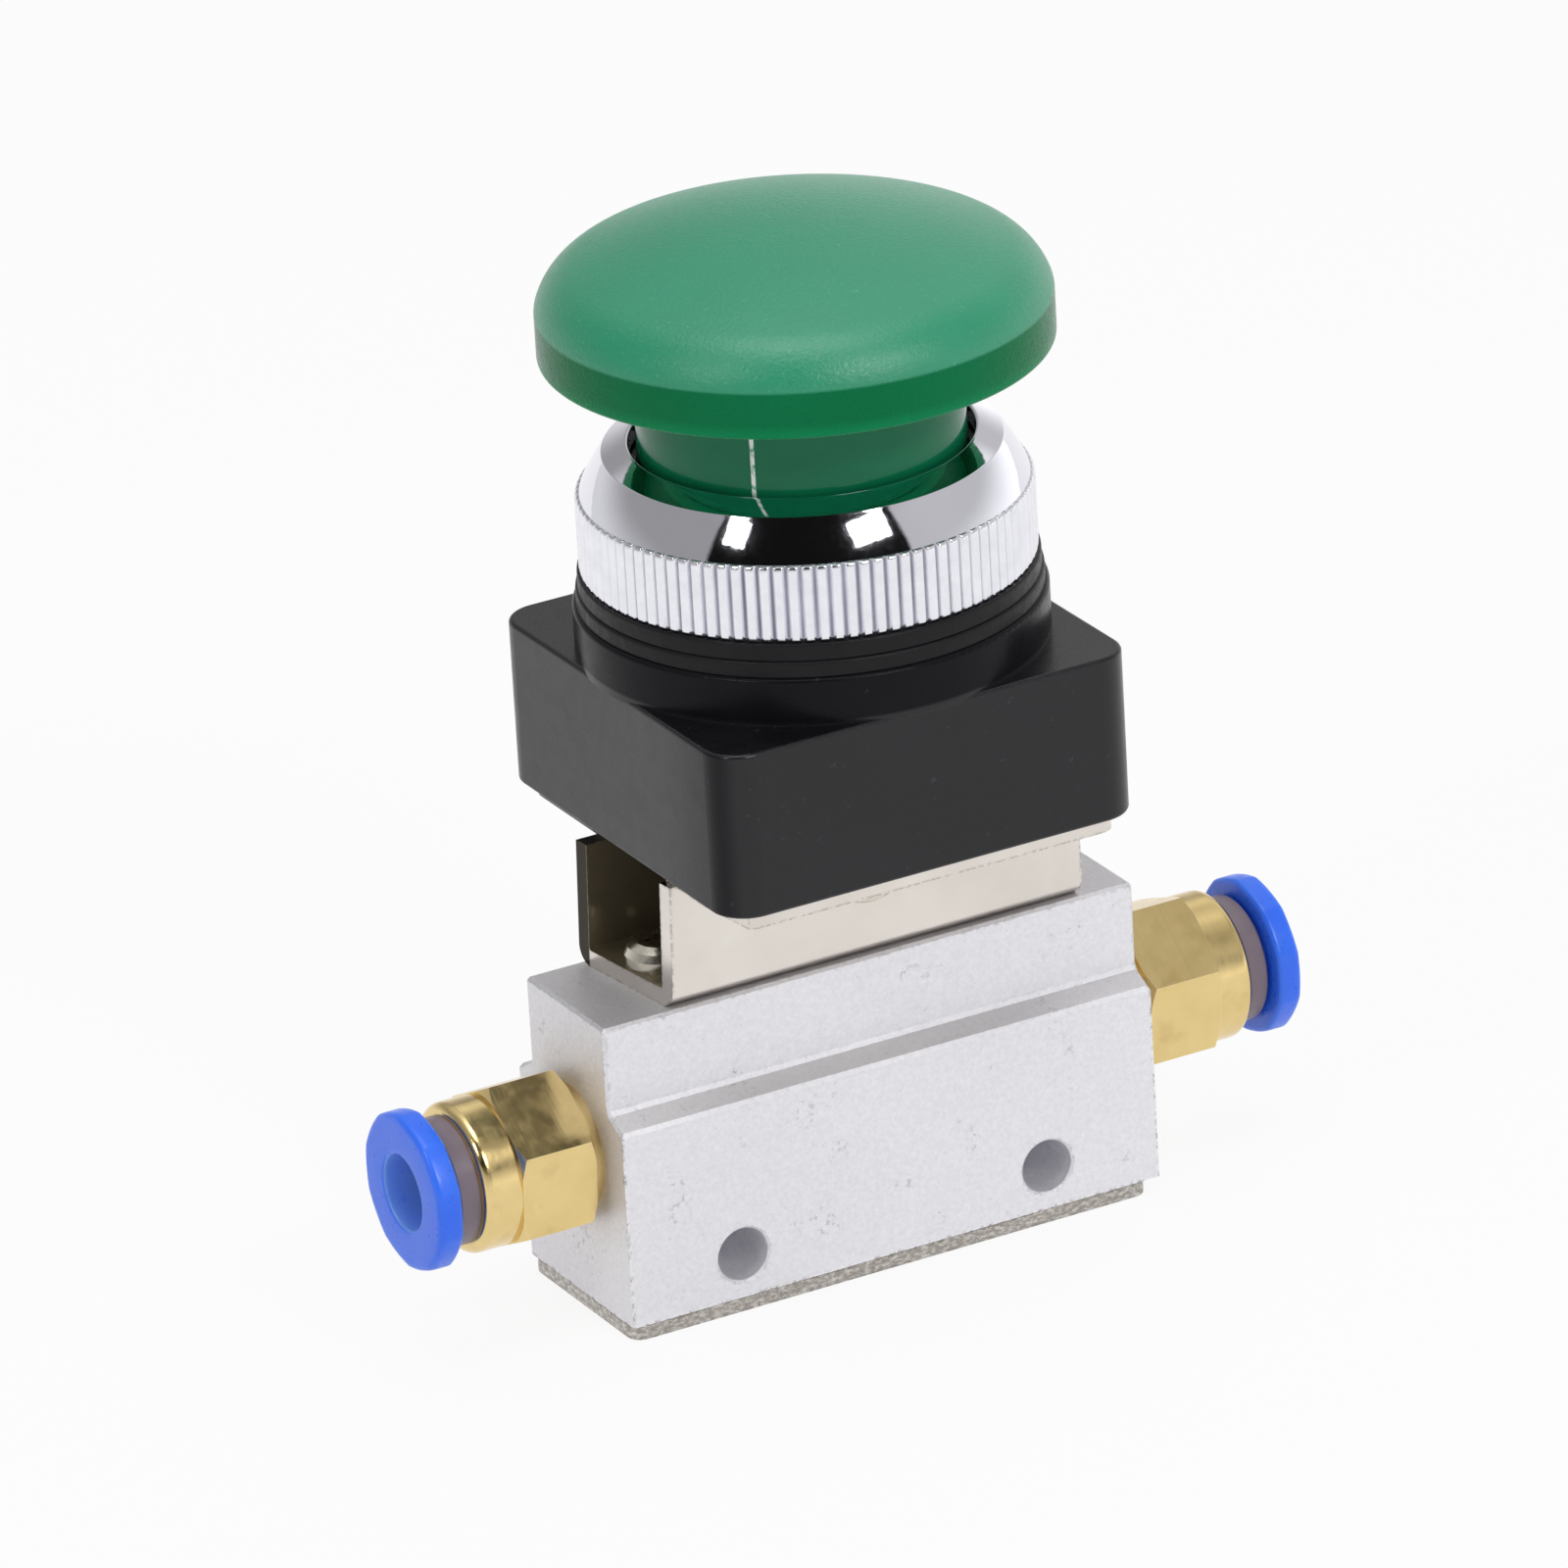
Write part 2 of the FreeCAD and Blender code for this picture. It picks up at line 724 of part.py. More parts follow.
def make_bezel():
    points = []
    for i in range(knurl_count):
        for step, radius in ((0.0, knurl_radius), (0.5, knurl_radius - knurl_depth)):
            turn = 2 * math.pi * (i + step) / knurl_count
            points.append(vec(radius * math.cos(turn), radius * math.sin(turn), bezel_bottom))
    star = Part.Face(Part.makePolygon(points + [points[0]])).extrude(vec(0, 0, knurl_height))
    c = knurl_chamfer
    trim = revolve([
        (0, bezel_bottom), (knurl_radius - c, bezel_bottom), (knurl_radius, bezel_bottom + c),
        (knurl_radius, knurl_top - c), (knurl_radius - c, knurl_top), (0, knurl_top),
    ])
    knurl = star.common(trim)
    top = revolve([
        (0, knurl_top), (bezel_cone_base_radius, knurl_top),
        (bezel_cone_top_radius, bezel_cone_top), (bezel_hole_radius, bezel_top), (0, bezel_top),
    ])
    bezel = knurl.fuse(top)
    thread = cylinder(neck_radius + running_clearance, bezel_bottom, bezel_lip_bottom)
    hole = cylinder(bezel_hole_radius, bezel_lip_bottom, bezel_top)
    return bezel.cut(thread).cut(hole)


def dome_profile():
    # The shoulder arc leaves the rim's edge at its own slope, and the crown arc is tangent to it.
    slope = math.radians(dome_edge_slope)
    across = cap_radius - dome_shoulder_radius * math.sin(slope)
    shoulder = (across, rim_top - dome_shoulder_radius * math.cos(slope))
    depth = apex - shoulder[1]
    reach = across ** 2 + depth ** 2 - dome_shoulder_radius ** 2
    crown = (0.0, apex - reach / (2 * (depth - dome_shoulder_radius)))
    return crown, shoulder, math.atan2(shoulder[0], shoulder[1] - crown[1])


def arc_on(center, radius, turn):
    return vec(center[0] + radius * math.sin(turn), 0, center[1] + radius * math.cos(turn))


def make_cap():
    center, shoulder, turn = dome_profile()
    end_turn = math.radians(dome_edge_slope)
    crown_radius = apex - center[1]
    top = Part.Arc(
        vec(0, 0, apex), arc_on(center, crown_radius, turn / 2), arc_on(center, crown_radius, turn)
    ).toShape()
    side = Part.Arc(
        arc_on(center, crown_radius, turn),
        arc_on(shoulder, dome_shoulder_radius, (turn + end_turn) / 2),
        vec(cap_radius, 0, rim_top),
    ).toShape()
    edges = [top, side]
    walls = [
        vec(cap_radius, 0, rim_top), vec(cap_radius, 0, rim_bottom), vec(0, 0, rim_bottom),
        vec(0, 0, apex),
    ]
    for a, b in zip(walls, walls[1:]):
        edges.append(Part.LineSegment(a, b).toShape())
    outline = Part.Face(Part.Wire(edges))
    cap = outline.revolve(vec(0, 0, 0), vec(0, 0, 1), 360)
    cap = cap.makeFillet(cap_rim_edge_radius, circle_edges(cap, cap_radius, rim_bottom))
    socket = button_stem_radius + thread_clearance
    recess = ring(
        cap_radius - cap_recess_wall, socket + cap_skirt_wall,
        rim_bottom, rim_bottom + cap_recess_depth,
    )
    cap = cap.cut(recess).cut(cylinder(socket, rim_bottom, button_stem_top))
    pocket = cylinder(screw_pocket_radius, button_stem_top, button_stem_top + screw_pocket_depth)
    return cap.cut(pocket)


def make_button_stem():
    inner = button_stem_radius - button_stem_wall
    stem = cylinder(button_stem_radius, button_stem_bottom, button_stem_top)
    stem = stem.cut(cylinder(inner, button_stem_bottom, web_bottom))
    return stem.cut(cylinder(button_screw_radius + screw_hole_clearance, web_bottom, button_stem_top))


def make_plunger():
    groove_radius = plunger_radius - plunger_groove_depth
    clip_bottom = clip_top - clip_thickness
    plunger = revolve([
        (0, plunger_tip), (plunger_radius - plunger_edge_break, plunger_tip),
        (plunger_radius, plunger_tip + plunger_edge_break),
        (plunger_radius, clip_bottom - thread_clearance),
        (groove_radius, clip_bottom - thread_clearance),
        (groove_radius, clip_top + thread_clearance),
        (plunger_radius, clip_top + thread_clearance),
        (plunger_radius, plunger_flange_bottom), (plunger_flange_radius, plunger_flange_bottom),
        (plunger_flange_radius, web_bottom), (0, web_bottom),
    ])
    depth = button_screw_length - button_stem_web + screw_hole_spare
    return plunger.cut(cylinder(
        button_screw_radius + thread_clearance, web_bottom - depth, web_bottom
    ))


def make_clip():
    inner = plunger_radius - plunger_groove_depth + thread_clearance
    low = clip_top - clip_thickness
    clip = ring(clip_radius, inner, low, clip_top)
    slot = block(0, clip_radius, -clip_slot_width / 2, clip_slot_width / 2, low, clip_top)
    return clip.cut(slot)


# Places along a fitting, outwards from the body's end face
hex_start = fitting_neck
nose_start = hex_start + hex_length
nose_end = nose_start + nose_length
seal_start = tube_stop + tube_socket_length
gripper_start = seal_start + tube_seal_section + 2 * contact_gap + gripper_offset
gripper_end = gripper_start + gripper_lean + gripper_thickness
guide_ring_end = nose_end + guide_ring_height
ring_start = guide_ring_end + release_ring_gap
ring_end = ring_start + release_ring_height
sleeve_start = gripper_end + release_sleeve_gap
bead_end = sleeve_start + release_bead_length
bead_stop = bead_end + release_pull + contact_gap


def make_fitting(side):
    inner = -fitting_thread_length
    root = fitting_thread_radius - fitting_thread_groove
    outline = [(air_bore_radius, inner), (root, inner)]
    turns = int(fitting_thread_length / fitting_thread_pitch)
    for i in range(turns):
        start = inner + i * fitting_thread_pitch
        outline.append((fitting_thread_radius, start + fitting_thread_pitch * 0.5))
        outline.append((root, start + fitting_thread_pitch))
    seat_radius = port_thread_radius + fitting_seat_overlap
    outline += [(root, 0), (seat_radius, 0), (seat_radius, hex_start)]
    outline += [(nose_radius, hex_start), (nose_radius, nose_end)]
    outline += [(collet_bore_radius, nose_end), (collet_bore_radius, seal_start)]
    outline += [(tube_radius + running_clearance, seal_start)]
    outline += [(tube_radius + running_clearance, tube_stop), (air_bore_radius, tube_stop)]
    core = revolve(outline)
    core = core.makeFillet(nose_edge_radius, circle_edges(core, nose_radius, nose_end))
    hex_turn = left_hex_turn if side < 0 else right_hex_turn
    corner = hex_across_flats / 2 / math.cos(math.radians(30))
    points = []
    for i in range(6):
        # The corner nearest the front is turned up by the fitting's own angle.
        turn = math.radians(-90 - side * hex_turn + 60 * i)
        points.append(vec(corner * math.cos(turn), corner * math.sin(turn), hex_start))
    prism = Part.Face(Part.makePolygon(points + [points[0]])).extrude(vec(0, 0, hex_length))
    slope = hex_chamfer * math.tan(math.radians(30))
    trim = revolve([
        (0, hex_start), (corner - hex_chamfer, hex_start), (corner, hex_start + slope),
        (corner, nose_start - slope), (corner - hex_chamfer, nose_start), (0, nose_start),
    ])
    prism = prism.common(trim).cut(cylinder(collet_bore_radius, hex_start, nose_start))
    return place_along_x(core.fuse(prism).removeSplitter(), side)


def make_tube_oring(side):
    wire = tube_seal_section / 2
    middle = (tube_radius + collet_bore_radius) / 2
    seal = Part.makeTorus(middle, wire, vec(0, 0, seal_start + contact_gap + wire))
    return place_along_x(seal, side)


def make_gripper(side):
    outer = collet_bore_radius - thread_clearance
    low = gripper_start
    claw = revolve([
        (outer, low + gripper_lean), (outer, low + gripper_lean + gripper_thickness),
        (outer - gripper_thickness, low + gripper_lean + gripper_thickness),
        (gripper_inner_radius, low + gripper_thickness), (gripper_inner_radius, low),
        (outer - gripper_thickness, low + gripper_lean),
    ])
    for i in range(gripper_slot_count):
        half = gripper_slot_width / 2
        slot = block(
            0, outer - 2 * gripper_thickness, -half, half, low, low + gripper_lean + gripper_thickness
        )
        slot.rotate(vec(0, 0, 0), vec(0, 0, 1), 360 * i / gripper_slot_count)
        claw = claw.cut(slot)
    return place_along_x(claw, side)


def make_guide_ring(side):
    outer = collet_bore_radius - thread_clearance
    bore = tube_radius + guide_clearance + sleeve_wall + guide_clearance
    bead_bore = bore + release_bead_height
    guide = revolve([
        (bead_bore, gripper_end), (outer, gripper_end), (outer, nose_end),
        (guide_ring_radius, nose_end), (guide_ring_radius, guide_ring_end - guide_ring_edge),
        (guide_ring_radius - guide_ring_edge, guide_ring_end), (bore, guide_ring_end),
        (bore, bead_stop), (bead_bore, bead_stop),
    ])
    return place_along_x(guide, side)


def make_release_sleeve(side):
    bore = tube_radius + guide_clearance
    outer = bore + sleeve_wall
    bead = outer + release_bead_height
    sleeve = revolve([
        (bore, sleeve_start), (bead, sleeve_start), (bead, bead_end), (outer, bead_end),
        (outer, ring_start),
        (release_ring_radius, ring_start), (release_ring_radius, ring_end),
        (bore + tube_entry_chamfer, ring_end), (bore, ring_end - tube_entry_chamfer),
    ])
    rounds = circle_edges(sleeve, release_ring_radius, ring_start)
    rounds += circle_edges(sleeve, release_ring_radius, ring_end)
    return place_along_x(sleeve.makeFillet(release_ring_edge, rounds), side)


save([make_valve_body()], "valve_body")
save([make_bottom_plate()], "bottom_plate")
save(make_plate_screws(), "plate_screws")
save([make_bottom_oring()], "bottom_oring")
save([make_stem_guide()], "stem_guide")
save([make_stem_oring()], "stem_oring")
save([make_valve_stem()], "valve_stem")
save([make_poppet()], "poppet")
save([cylinder(poppet_seal_radius, poppet_top, seal_top)], "poppet_seal")
save([coil_spring(
    stem_spring_radius, stem_spring_wire, stem_spring_turns, stem_chamber_floor, stem_flange_bottom
)], "stem_spring")
save([coil_spring(
    poppet_spring_radius, poppet_spring_wire, poppet_spring_turns, plate_thickness, poppet_bottom
)], "poppet_spring")
save([make_bracket()], "mounting_bracket")
bracket_screws = []
box_screws = []
for side in (-1, 1):
    bracket_screws.append(pan_screw(
        side * bracket_screw_x, 0, floor_top, pan_head_radius, pan_head_height,
        bracket_screw_radius, sheet + bracket_screw_depth, 1,
    ))
    box_screws.append(pan_screw(
        side * box_screw_x, side * box_screw_y, flange_bottom, box_screw_head_radius,
        box_screw_head_height, box_screw_radius, box_screw_length, -1,
    ))
save(bracket_screws, "bracket_screws")
save(box_screws, "box_screws")
save([make_adapter_box()], "adapter_box")
save([make_guide_disc()], "guide_disc")
save([make_head_sleeve()], "head_sleeve")
save([make_gasket(lower_gasket_radius, boss_top, lower_gasket_top)], "lower_gasket")
save([make_gasket(panel_gasket_radius, lower_gasket_top, bezel_bottom)], "panel_gasket")
save([make_bezel()], "bezel_ring")
save([make_cap()], "mushroom_cap")
save([make_button_stem()], "button_stem")
save([make_plunger()], "button_plunger")
save([pan_screw(
    0, 0, button_stem_top, button_screw_head_radius, button_screw_head_height,
    button_screw_radius, button_screw_length, 1,
)], "button_screw")
save([make_clip()], "retaining_clip")
save([coil_spring(
    button_spring_radius, button_spring_wire, button_spring_turns, guide_disc_top, web_bottom
)], "button_spring")
for side, name in ((-1, "left"), (1, "right")):
    save([make_fitting(side)], name + "_fitting_body")
    save([make_tube_oring(side)], name + "_tube_oring")
    save([make_gripper(side)], name + "_gripper")
    save([make_guide_ring(side)], name + "_guide_ring")
    save([make_release_sleeve(side)], name + "_release_sleeve")
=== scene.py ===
import json
import math

import bmesh
import bpy
from mathutils import Matrix, Vector


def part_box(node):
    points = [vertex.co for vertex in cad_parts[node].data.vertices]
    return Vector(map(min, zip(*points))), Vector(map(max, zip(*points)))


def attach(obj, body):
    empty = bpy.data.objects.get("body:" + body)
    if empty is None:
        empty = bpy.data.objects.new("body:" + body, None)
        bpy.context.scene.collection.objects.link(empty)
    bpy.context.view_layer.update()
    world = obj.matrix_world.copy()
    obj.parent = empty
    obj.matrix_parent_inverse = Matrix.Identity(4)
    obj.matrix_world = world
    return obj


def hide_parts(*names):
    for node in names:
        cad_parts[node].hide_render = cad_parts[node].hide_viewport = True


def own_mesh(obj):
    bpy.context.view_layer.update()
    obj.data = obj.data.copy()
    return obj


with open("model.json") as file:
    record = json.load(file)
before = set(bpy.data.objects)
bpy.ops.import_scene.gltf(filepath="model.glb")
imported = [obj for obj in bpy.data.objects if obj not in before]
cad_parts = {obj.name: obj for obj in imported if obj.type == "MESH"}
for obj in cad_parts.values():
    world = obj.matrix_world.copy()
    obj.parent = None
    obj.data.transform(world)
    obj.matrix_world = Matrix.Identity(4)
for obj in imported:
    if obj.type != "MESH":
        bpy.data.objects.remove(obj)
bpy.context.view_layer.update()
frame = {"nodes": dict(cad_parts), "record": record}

# Metres throughout, in the part's own frame: +X along the valve body, +Z up.
nodes = frame["nodes"]
mm = 0.001

# Camera, fitted to the photograph
camera_lens = 315.0
camera_sensor = 36.0
camera_target = Vector((0, 0, 35 * mm))
camera_yaw = math.radians(-27.967)
camera_pitch = math.radians(23.382)
camera_roll = math.radians(-3.368)
camera_distance = 1068.3 * mm
camera_offset = (-3.128 * mm, 3.008 * mm)

# Angle of the horizontal direction that faces the camera, about +Z from +X
front_angle = camera_yaw - math.pi / 2


def srgb(red, green, blue):
    """A linear colour from screen values of 0 to 255."""
    def linear(value):
        value /= 255
        return value / 12.92 if value <= 0.04045 else ((value + 0.055) / 1.055) ** 2.4
    return (linear(red), linear(green), linear(blue), 1)


# Mesh helpers

def new_object(name, data):
    piece = bpy.data.objects.new(name, data)
    bpy.context.scene.collection.objects.link(piece)
    return piece


def shade(mesh, sharp_angle=32):
    """Smooth faces, with edges sharper than the angle kept crisp."""
    bm = bmesh.new()
    bm.from_mesh(mesh)
    bmesh.ops.recalc_face_normals(bm, faces=bm.faces)
    limit = math.radians(sharp_angle)
    for face in bm.faces:
        face.smooth = True
    for edge in bm.edges:
        if len(edge.link_faces) == 2 and edge.calc_face_angle(0) > limit:
            edge.smooth = False
    bm.to_mesh(mesh)
    bm.free()


def arc(centre, radius, start, end, steps):
    """Points of (radius, height) on an arc. The angle is 0 at the top and grows outwards."""
    points = []
    for i in range(steps + 1):
        turn = start + (end - start) * i / steps
        points.append((centre[0] + radius * math.sin(turn), centre[1] + radius * math.cos(turn)))
    return points


def round_corners(points, radii, steps):
    """The closed outline with each corner replaced by a curve of its own radius. A curve takes
    less than half of the sides next to it, and corners that are nearly straight stay."""
    nearly_straight = math.radians(175)
    side_share = 0.45
    rounded = []
    for i, (point, radius) in enumerate(zip(points, radii)):
        here = Vector(point)
        before = Vector(points[i - 1]) - here
        after = Vector(points[(i + 1) % len(points)]) - here
        turn = before.angle(after)
        if radius <= 0 or turn > nearly_straight:
            rounded.append(tuple(here))
            continue
        reach = radius / math.tan(turn / 2)
        reach = min(reach, before.length * side_share, after.length * side_share)
        start = here + before.normalized() * reach
        end = here + after.normalized() * reach
        for step in range(steps + 1):
            t = step / steps
            curve = start * (1 - t) ** 2 + here * 2 * t * (1 - t) + end * t ** 2
            rounded.append(tuple(curve))
    return rounded


def lathe(node, outline, segments, cut=None, shift=0.0):
    """Turns a closed outline of (radius, height) about +Z. cut(radius, height, angle) gives the
    radius there, for teeth and ridges, and shift is the angle of the first column."""
    on_axis = 1e-7
    bm = bmesh.new()
    columns = []
    axis_points = {}
    for s in range(segments):
        angle = 2 * math.pi * s / segments + shift
        column = []
        for i, (radius, height) in enumerate(outline):
            if radius < on_axis:
                if i not in axis_points:
                    axis_points[i] = bm.verts.new((0, 0, height))
                column.append(axis_points[i])
                continue
            r = cut(radius, height, angle) if cut else radius
            column.append(bm.verts.new((r * math.cos(angle), r * math.sin(angle), height)))
        columns.append(column)
    count = len(outline)
    for s in range(segments):
        a, b = columns[s], columns[(s + 1) % segments]
        for i in range(count):
            j = (i + 1) % count
            corners = []
            for vert in (a[i], a[j], b[j], b[i]):
                if vert not in corners:
                    corners.append(vert)
            if len(corners) >= 3:
                bm.faces.new(corners)
    name = node + "_finish"
    mesh = bpy.data.meshes.new(name)
    bm.to_mesh(mesh)
    bm.free()
    shade(mesh)
    return new_object(name, mesh)


def lay_along_x(piece, side, height):
    """Turns a piece made about +Z so that +Z points out of the body's end on that side."""
    turn = Matrix.Rotation(math.radians(90) * side, 4, "Y")
    piece.data.transform(Matrix.Translation((0, 0, height)) @ turn)


def beveled_copy(node, width):
    """A copy of a CAD piece with its flat faces merged and its edges rounded."""
    merge_distance = 2e-6
    flat_angle = math.radians(0.5)
    mesh = nodes[node].data.copy()
    mesh.materials.clear()
    bm = bmesh.new()
    bm.from_mesh(mesh)
    bmesh.ops.remove_doubles(bm, verts=bm.verts, dist=merge_distance)
    bmesh.ops.dissolve_limit(bm, angle_limit=flat_angle, verts=bm.verts, edges=bm.edges)
    bm.to_mesh(mesh)
    bm.free()
    piece = new_object(node + "_finish", mesh)
    bevel = piece.modifiers.new("edges", "BEVEL")
    bevel.width = width
    bevel.segments = 3
    bevel.limit_method = "ANGLE"
    bevel.angle_limit = math.radians(30)
    bevel.harden_normals = True
    shade(mesh)
    return piece


def dress(piece, material, body, slot, node):
    """Gives a piece its finish and its body, in place of a CAD node."""
    piece.data.materials.clear()
    piece.data.materials.append(material)
    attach(piece, body)
    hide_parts(node)


def second_finish(piece, material, chosen):
    """Gives a second material to the faces that chosen(centre, normal) picks."""
    piece.data.materials.append(material)
    for face in piece.data.polygons:
        if chosen(face.center, face.normal):
            face.material_index = 1


def repaint(node, material):
    mesh = nodes[node].data
    mesh.materials.clear()
    mesh.materials.append(material)


# Material helpers

class Tree:
    """A node tree, with short calls that make shader nodes and join them."""

    def __init__(self, tree):
        self.tree = tree
        tree.nodes.clear()

    def new(self, kind):
        return self.tree.nodes.new("ShaderNode" + kind)

    def link(self, source, target):
        self.tree.links.new(source, target)

    def math(self, operation, first, second=None, clamp=False):
        node = self.new("Math")
        node.operation = operation
        node.use_clamp = clamp
        for i, value in enumerate((first, second)):
            if value is None:
                continue
            if isinstance(value, (int, float)):
                node.inputs[i].default_value = value
            else:
                self.link(value, node.inputs[i])
        return node.outputs[0]

    def plus(self, first, second, clamp=False):
        return self.math("ADD", first, second, clamp)

    def times(self, first, second, clamp=False):
        return self.math("MULTIPLY", first, second, clamp)

    def inverse(self, value):
        """One minus the value."""
        return self.math("SUBTRACT", 1.0, value)

    def step(self, source, low, high):
        """0 at low and 1 at high, with a smooth change between. Low may be the larger one."""
        node = self.new("MapRange")
        node.interpolation_type = "SMOOTHSTEP"
        node.inputs["From Min"].default_value = low
        node.inputs["From Max"].default_value = high
        self.link(source, node.inputs["Value"])
        return node.outputs[0]

    def mix_shaders(self, amount, first, second):
        node = self.new("MixShader")
        for socket, source in zip(node.inputs, (amount, first, second)):
            self.link(source, socket)
        return node.outputs[0]


class Finish(Tree):
    """A material with one principled shader and the textures that feed it."""

    def __init__(self, name):
        self.material = bpy.data.materials.new(name)
        self.material.use_nodes = True
        super().__init__(self.material.node_tree)
        output = self.new("OutputMaterial")
        self.shader = self.new("BsdfPrincipled")
        self.link(self.shader.outputs[0], output.inputs["Surface"])
        self.place = self.new("TexCoord").outputs["Object"]

    def set(self, **values):
        for key, value in values.items():
            self.shader.inputs[key.replace("_", " ")].default_value = value

    def stretch(self, scale):
        mapping = self.new("Mapping")
        mapping.inputs["Scale"].default_value = scale
        self.link(self.place, mapping.inputs["Vector"])
        return mapping.outputs[0]

    def noise(self, scale, detail, rough=0.55, where=None):
        node = self.new("TexNoise")
        node.inputs["Scale"].default_value = scale
        node.inputs["Detail"].default_value = detail
        node.inputs["Roughness"].default_value = rough
        self.link(where or self.place, node.inputs["Vector"])
        return node.outputs["Fac"]

    def ramp(self, source, *stops):
        node = self.new("ValToRGB")
        ramp = node.color_ramp
        while len(ramp.elements) < len(stops):
            ramp.elements.new(0.5)
        for element, (position, colour) in zip(ramp.elements, stops):
            element.position = position
            if not isinstance(colour, tuple):
                colour = (colour, colour, colour, 1)
            element.color = colour
        self.link(source, node.inputs[0])
        return node.outputs[0]

    def mix(self, amount, first, second):
        node = self.new("Mix")
        node.data_type = "RGBA"
        for socket, value in ((node.inputs[0], amount), (node.inputs[6], first),
                              (node.inputs[7], second)):
            if isinstance(value, (int, float, tuple)):
                socket.default_value = value
            else:
                self.link(value, socket)
        return node.outputs[2]

    def edge_mask(self, radius, gain):
        """White near outside and inside edges."""
        bevel = self.new("Bevel")
        bevel.samples = 6
        bevel.inputs["Radius"].default_value = radius
        dot = self.new("VectorMath")
        dot.operation = "DOT_PRODUCT"
        self.link(bevel.outputs[0], dot.inputs[0])
        self.link(self.new("NewGeometry").outputs["Normal"], dot.inputs[1])
        return self.times(self.inverse(dot.outputs["Value"]), gain, clamp=True)

    def part_of(self, vector, axis):
        split = self.new("SeparateXYZ")
        self.link(vector, split.inputs[0])
        return split.outputs[axis]

    def normal_part(self, axis):
        return self.part_of(self.new("NewGeometry").outputs["Normal"], axis)

    def position_part(self, axis):
        return self.part_of(self.place, axis)

    def from_axis(self):
        """Distance from the button's axis."""
        node = self.new("VectorMath")
        node.operation = "LENGTH"
        self.link(self.stretch((1, 1, 0)), node.inputs[0])
        return node.outputs["Value"]

    def bump(self, *layers):
        """Each layer is (height, depth in millimetres, strength)."""
        last = None
        for height, depth, strength in layers:
            node = self.new("Bump")
            node.inputs["Strength"].default_value = strength
            node.inputs["Distance"].default_value = depth * mm
            self.link(height, node.inputs["Height"])
            if last:
                self.link(last, node.inputs["Normal"])
            last = node.outputs[0]
        self.link(last, self.shader.inputs["Normal"])

    def colour(self, source):
        self.link(source, self.shader.inputs["Base Color"])

    def specular(self, source):
        self.link(source, self.shader.inputs["Specular IOR Level"])

    def roughness(self, source):
        self.link(source, self.shader.inputs["Roughness"])

    def rough_between(self, source, low, high):
        """The roughness follows a texture, whose middle part spreads over the whole range."""
        self.roughness(self.ramp(source, (0.3, low), (0.7, high)))


# Materials

def green_cap_material(rim_bottom, rim_top):
    """Frosted on the domed top, clearer on the rim. The top's paler green and its white specks are
    painted sheen and painted sparkle, and the rim's lower edge, where its wall is thinnest, is
    paler with a painted glow.
    """
    m = Finish("green_cap")
    speckle = m.noise(3000, 3.0, 0.7)
    cloud = m.noise(90, 3.0)
    frost_and_painted_sheen = m.step(m.position_part("Z"), rim_top - 0.25 * mm, rim_top + 0.05 * mm)
    # The paler green of the top is painted sheen from the light above.
    dome = m.mix(cloud, srgb(0, 133, 92), srgb(8, 144, 106))
    rim = m.mix(cloud, srgb(0, 104, 60), srgb(2, 116, 70))
    # Painted glow: the rim gets paler towards its lower edge, as if lit through the plastic.
    thin_rim_painted_glow = m.step(m.position_part("Z"), rim_bottom + 1.4 * mm, rim_bottom + 0.2 * mm)
    rim = m.mix(thin_rim_painted_glow, rim, srgb(6, 128, 78))
    tone = m.mix(frost_and_painted_sheen, rim, dome)
    # White specks on the top: painted sparkle.
    painted_sparkle = m.ramp(speckle, (0.64, 0.0), (0.72, 1.0))
    m.colour(m.mix(m.times(m.times(painted_sparkle, 0.3), frost_and_painted_sheen), tone, srgb(140, 205, 178)))
    m.roughness(m.mix(frost_and_painted_sheen, m.ramp(m.noise(900, 3.0), (0.3, 0.20), (0.7, 0.30)),
                      m.ramp(speckle, (0.3, 0.30), (0.7, 0.42))))
    m.specular(m.ramp(frost_and_painted_sheen, (0.0, 0.08), (1.0, 0.80)))
    m.set(Sheen_Weight=0.14, Sheen_Roughness=0.3)
    m.bump((speckle, 0.07, 0.9), (m.noise(320, 4.0), 0.08, 0.12))
    return m.material


def green_stem_material():
    m = Finish("green_stem")
    cloud = m.noise(160, 3.0)
    m.colour(m.mix(cloud, srgb(12, 108, 72), srgb(20, 122, 84)))
    m.set(Specular_IOR_Level=0.22)
    m.rough_between(m.noise(900, 3.0), 0.08, 0.15)
    m.bump((m.noise(420, 3.0), 0.04, 0.15))
    return m.material


def painted_flash_highlight_material():
    # The ridge's near-white colour is a painted highlight, broken by green beads.
    m = Finish("stem_painted_flash_highlight")
    beads = m.noise(1700, 2.0)
    m.colour(m.ramp(beads, (0.35, srgb(90, 170, 130)), (0.55, srgb(250, 252, 250))))
    m.rough_between(beads, 0.25, 0.45)
    m.bump((beads, 0.08, 0.4))
    return m.material


def chrome_material():
    m = Finish("chrome")
    m.set(Metallic=1.0)
    fine = m.noise(2600, 4.0)
    m.colour(m.mix(m.noise(150, 2.0), srgb(228, 228, 236), srgb(238, 238, 246)))
    m.roughness(m.ramp(fine, (0.35, 0.035), (0.75, 0.075)))
    m.bump((m.noise(240, 2.0), 0.06, 0.10), (fine, 0.01, 0.15))
    return m.material


